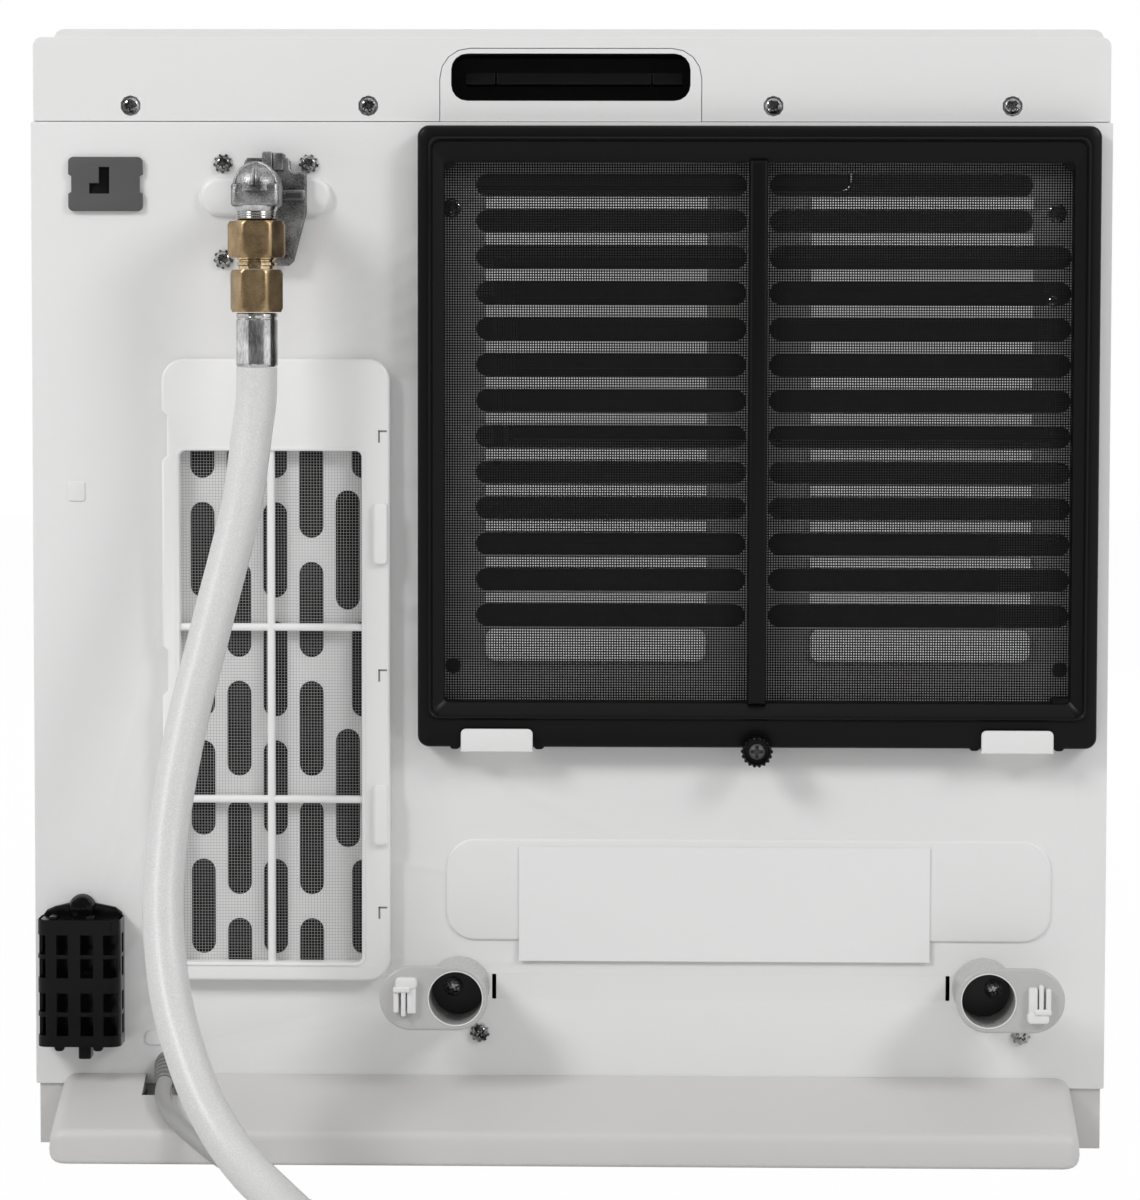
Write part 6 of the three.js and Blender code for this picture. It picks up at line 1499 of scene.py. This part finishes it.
# %% Cage skin
CAGE_X, CAGE_Z, CAGE_OUT = (-231.7, -195.4), (46.1, 101.8), (2.5, 20)
CAGE_ROUND, CAGE_WALL, BOW_STEPS = 5, 1.5, 6
CAGE_SIDE = CAGE_OUT[1] - CAGE_ROUND - CAGE_OUT[0]
CAGE_BOW = CAGE_ROUND * pi / 2
CAGE_LENGTH = 2 * (CAGE_SIDE + CAGE_BOW) + CAGE_X[1] - CAGE_X[0] - 2 * CAGE_ROUND
CAGE_COLUMNS = ((9.4, 19.2), (24, 29.1), (34.4, 40), (44.4, 51), (57, 63))
CAGE_ROWS = ((51, 59.4), (61.4, 69.7), (76.4, 84.8), (86.6, 95.2))


def on_skin(length, deep=0.0):
    """X and outward at a length along the cage's skin, or so deep under it."""
    if length > CAGE_LENGTH / 2:
        x, out = on_skin(CAGE_LENGTH - length, deep)
        return sum(CAGE_X) - x, out
    turn = min(max(length - CAGE_SIDE, 0) / CAGE_ROUND, pi / 2)
    along = max(0, length - CAGE_SIDE - CAGE_BOW)
    x = CAGE_X[0] + CAGE_ROUND - (CAGE_ROUND - deep) * cos(turn) + along
    out = CAGE_OUT[0] + min(length, CAGE_SIDE) + (CAGE_ROUND - deep) * sin(turn)
    return x, out


def in_window(length, z):
    """Whether a point of the skin lies in one of its windows."""
    inside_column = any(low < length < high for low, high in CAGE_COLUMNS)
    return inside_column and any(low < z < high for low, high in CAGE_ROWS)


def skin_with_windows(shape, lengths, heights):
    """Outer and inner faces of each closed cell, and the edges round each open one."""
    corner = {}
    for deep in (0, CAGE_WALL):
        for i, length in enumerate(lengths):
            x, out = on_skin(length, deep)
            for j, z in enumerate(heights):
                corner[i, j, deep] = shape.loop([(x, out, z)])[0]

    def closed(i, j):
        if not (0 <= i < len(lengths) - 1 and 0 <= j < len(heights) - 1):
            return False
        return not in_window((lengths[i] + lengths[i + 1]) / 2, (heights[j] + heights[j + 1]) / 2)

    def wall(one, other):
        outer = (corner[*one, 0], corner[*other, 0])
        shape.faces.append((*outer, corner[*other, CAGE_WALL], corner[*one, CAGE_WALL]))

    for i in range(len(lengths) - 1):
        for j in range(len(heights) - 1):
            if not closed(i, j):
                continue
            ring = ((i, j), (i + 1, j), (i + 1, j + 1), (i, j + 1))
            beside = ((i, j - 1), (i + 1, j), (i, j + 1), (i - 1, j))
            for deep in (0, CAGE_WALL):
                shape.faces.append(tuple(corner[a, b, deep] for a, b in ring))
            for k, cell in enumerate(beside):
                if not closed(*cell):
                    wall(ring[k], ring[(k + 1) % 4])


print("skin", round(CAGE_LENGTH, 1), "mm long")

# %% [markdown]
# The skin's top and bottom are closed by thin plates, and a back plate with a round ear for the screw
# carries it. Small tabs above and below are where it snaps into the panel.

# %% Sensor cage
EAR, EAR_RADIUS, TAB_LOW = (-213.9, 105.2), 5.9, (101, 103.2)
EAR_CAP = ((5.7, 0.3), (5.7, 5), (4.8, 6.6), (2.6, 7.5), (0.1, 7.7))
bows = [CAGE_SIDE + CAGE_BOW * k / BOW_STEPS for k in range(BOW_STEPS + 1)]
edges = [length for column in CAGE_COLUMNS for length in column]
lengths = sorted({0, CAGE_LENGTH, *bows, *(CAGE_LENGTH - bow for bow in bows), *edges})
heights = sorted({*CAGE_Z, *(z for row in CAGE_ROWS for z in row)})
cage = Shape()
skin_with_windows(cage, lengths, heights)
for low, high in ((CAGE_Z[0], CAGE_Z[0] + CAGE_WALL), (CAGE_Z[1] - CAGE_WALL, CAGE_Z[1])):
    cage.stack([[(*on_skin(length, 0.05), z) for length in lengths] for z in (low, high)])
near, far = inset(CAGE_X, 0.4)
back = [(near, CAGE_Z[0] + 0.6), (far, CAGE_Z[0] + 0.6)]
back += [(far, 100.6), (far - 0.8, 103.2), (far - 3.6, 105.4)]
for turn in range(20, 161, 10):
    back.append((EAR[0] + EAR_RADIUS * cos(radians(turn)), EAR[1] + EAR_RADIUS * sin(radians(turn))))
back += [(near + 5.2, 105.6), (near + 2.0, 104.2), (near, 101.6)]
plate(cage, back, [], 0.3, 3.2, 0.8)
turned(cage, EAR_CAP, (EAR[0], 0, EAR[1]), OUTWARD)
for left in (-226.5, -210):
    pillow(cage, (left, left + 3.4), TAB_LOW, 11, 18.4, 0.6, 0.5)
pillow(cage, (-214, -208.6), (40.3, 48), 8, 17, 0.6, 0.6)
for left in (-224.7, -207.8):
    pillow(cage, (left, left + 4.4), (43.6, 47.5), 9, 16.5, 1.6, 0.6)
piece("cage_moulding", cage, gloss_black, ["sensor_cage"], edge=0.35)

# %% [markdown]
# The thumbscrew that holds the filter is knurled so that fingers turn it, and a screwdriver fits it too.
# The knurl is a wave on the turned rim, and the core is a screw head sunk into it.

# %% Thumbscrew
THUMB, KNURLS, KNURL = (FAN_MIDDLE, 14.3, 176.7), 18, 0.42
SHANK = ((2.4, -20), (2.4, -0.1))
KNOB = ((6.3, 0), (7.0, 0.6), (7.0, 6.2), (6.4, 7.0), (5.6, 7.2), (5.2, 6.6), (5.0, 4.4), (3.0, 4.3))


def knurled(angle, radius):
    """The knob's rim waves inward between its ridges."""
    return KNURL * cos(KNURLS * angle) - KNURL if radius > 6 else 0


thumb = Shape()
turned(thumb, (*SHANK, *KNOB), THUMB, OUTWARD, 108, knurled)
piece("thumbscrew_knob", thumb, gloss_black, ["filter_thumbscrew"], "thumbscrew")
core = Shape()
screw_head(core, THUMB[0], THUMB[2], THUMB[1] + 4.3, 3.5, 2.3, 0, 0.72)
piece("thumbscrew_core", core, plate_grey, body="thumbscrew")

# %% [markdown]
# The cord leaves through a ribbed sleeve that keeps it from bending sharply at the panel. The sleeve
# narrows towards its end, and each rib is a step in one turned section.

# %% Strain relief
RIBS, RIB_PITCH = 5, 2.8
relief_base = (RELIEF_START.x, 0, RELIEF_START.z)
along = Vector((0, RELIEF_START.y - RELIEF_END.y, RELIEF_END.z - RELIEF_START.z)).normalized()
ribs = [(5.8, -5.8), (5.8, 0.6)]
for k in range(RIBS):
    start = 1.0 + RIB_PITCH * k
    wide_rib, narrow_rib = 6.0 - 0.28 * k, 4.7 - 0.22 * k
    ribs += [(wide_rib, start), (wide_rib, start + 1.5)]
    ribs += [(narrow_rib, start + 1.7), (narrow_rib, start + 2.7)]
sleeve = Shape()
turned(sleeve, (*ribs, (4.2, 15.2), (3.8, 15.8)), relief_base, tuple(along), 32)
piece("cord_sleeve", sleeve, sleeve_plastic, ["cord_strain_relief"])

# %% [markdown]
# A shallow ledge crosses the hand recess, where the parts of its black cup meet. It is three bars side by
# side, and the thin gaps between them are the joins.

# %% Cup ledge
LEDGE_SPANS, LEDGE_Z = ((-46.3, -33), (-32.6, 35), (35.4, 48.9)), (465.4, 470.8)
ledge = Shape()
for span in LEDGE_SPANS:
    pillow(ledge, span, LEDGE_Z, -24, -9, 0.8, 0.6)
piece("cup_ledge", ledge, black_plastic)

# %% [markdown]
# The stage is a pale floor on which the heater stands. What the camera sees of the floor is almost the
# full white of the background, and the small rest is its own shaded colour, so a trace of shadow is left.


# %% Floor
def card(name, corners, material):
    """A flat piece of the stage with four corners."""
    mesh = bpy.data.meshes.new(name)
    mesh.from_pydata(corners, [], [(0, 1, 2, 3)])
    mesh.materials.append(material)
    made = bpy.data.objects.new(name, mesh)
    bpy.context.scene.collection.objects.link(made)
    return made


FLOOR_HALF, FLOOR_GLOW = 6, 0.98
recipe = new_material("pale_floor")
seen = recipe.node("ShaderNodeLightPath", output="Is Camera Ray")
pale = recipe.node("ShaderNodeBsdfDiffuse", {"Color": grey(0.86)})
glow = recipe.node("ShaderNodeEmission", {"Color": grey(1.0), "Strength": 1.0})
both = recipe.node("ShaderNodeMixShader", {0: seen * FLOOR_GLOW, 1: pale, 2: glow})
recipe.node("ShaderNodeOutputMaterial", {"Surface": both})
corners = [(FLOOR_HALF * x, FLOOR_HALF * y, 0) for x, y in ((-1, -1), (1, -1), (1, 1), (-1, 1))]
floor = card("floor", corners, recipe.holder)
print("floor", 2 * FLOOR_HALF, "m wide")

# %% [markdown]
# Brass and zinc look like metal only when they reflect something dark beside something bright. A dim card
# stands behind the camera, where a person and a room would be. Only reflections see it, so it casts no
# shadow and takes no light from the heater.

# %% Dim card behind the camera
CARD_X, CARD_Y, CARD_Z, CARD_GLOW = (-3.1, 1.5), -2.7, (0.01, 3), 0.16
recipe = new_material("dark_screen")
dim = recipe.node("ShaderNodeEmission", {"Color": grey(1.0), "Strength": CARD_GLOW})
recipe.node("ShaderNodeOutputMaterial", {"Surface": dim})
corners = [(CARD_X[i], CARD_Y, CARD_Z[j]) for i, j in ((0, 0), (1, 0), (1, 1), (0, 1))]
screen = card("dark_screen", corners, recipe.holder)
screen.visible_camera = False
screen.visible_diffuse = False
screen.visible_shadow = False
screen.visible_transmission = False
print("card", round(CARD_X[1] - CARD_X[0], 1), "m wide")

# %% [markdown]
# The world lights the heater at a modest level, and only what the camera, a reflection or glass sees of it
# is white. So the background is white without more light on the object. Colours are shown as they are
# written with the Standard view.

# %% World
WORLD_LIGHT, SEEN_WHITE = 0.45, 1.0
world = bpy.data.worlds.new("studio")
bpy.context.scene.world = world
studio = Recipe(world)
camera_ray, glossy_ray, glass_ray = [
    studio.node("ShaderNodeLightPath", output=f"Is {kind} Ray")
    for kind in ("Camera", "Glossy", "Transmission")
]
soft, white = [
    studio.node("ShaderNodeBackground", {"Color": grey(1.0), "Strength": strength})
    for strength in (WORLD_LIGHT, SEEN_WHITE)
]
seen = camera_ray.or_more(glossy_ray).or_more(glass_ray)
both = studio.node("ShaderNodeMixShader", {0: seen, 1: soft, 2: white})
studio.node("ShaderNodeOutputWorld", {"Surface": both})
bpy.context.scene.view_settings.view_transform = "Standard"
print("world lights at", WORLD_LIGHT)

# %% [markdown]
# Two soft lamps stand behind the heater, high on the left and on the right, so each knob throws two soft
# shadows downward, as in a shop photograph. A third one in front lights the side that the photograph
# doesn't show.


# %% Lamps
def lamp(name, spot, target, power, size):
    """A round soft lamp at a spot, in metres, that faces a target."""
    data = bpy.data.lights.new(name, "AREA")
    data.shape = "DISK"
    data.size = size
    data.energy = power
    made = bpy.data.objects.new(name, data)
    made.location = spot
    made.rotation_euler = (Vector(target) - Vector(spot)).to_track_quat("-Z", "Y").to_euler()
    bpy.context.scene.collection.objects.link(made)
    print(name, power, "W")


lamp("left_lamp", (-1.7, -1.7, 1.75), (0, -0.1, 0.25), 27, 0.8)
lamp("right_lamp", (1.8, -1.7, 1.75), (0, -0.1, 0.25), 20, 0.8)
lamp("front_lamp", (0.6, 2.3, 1.0), (0, 0, 0.25), 22, 1.2)
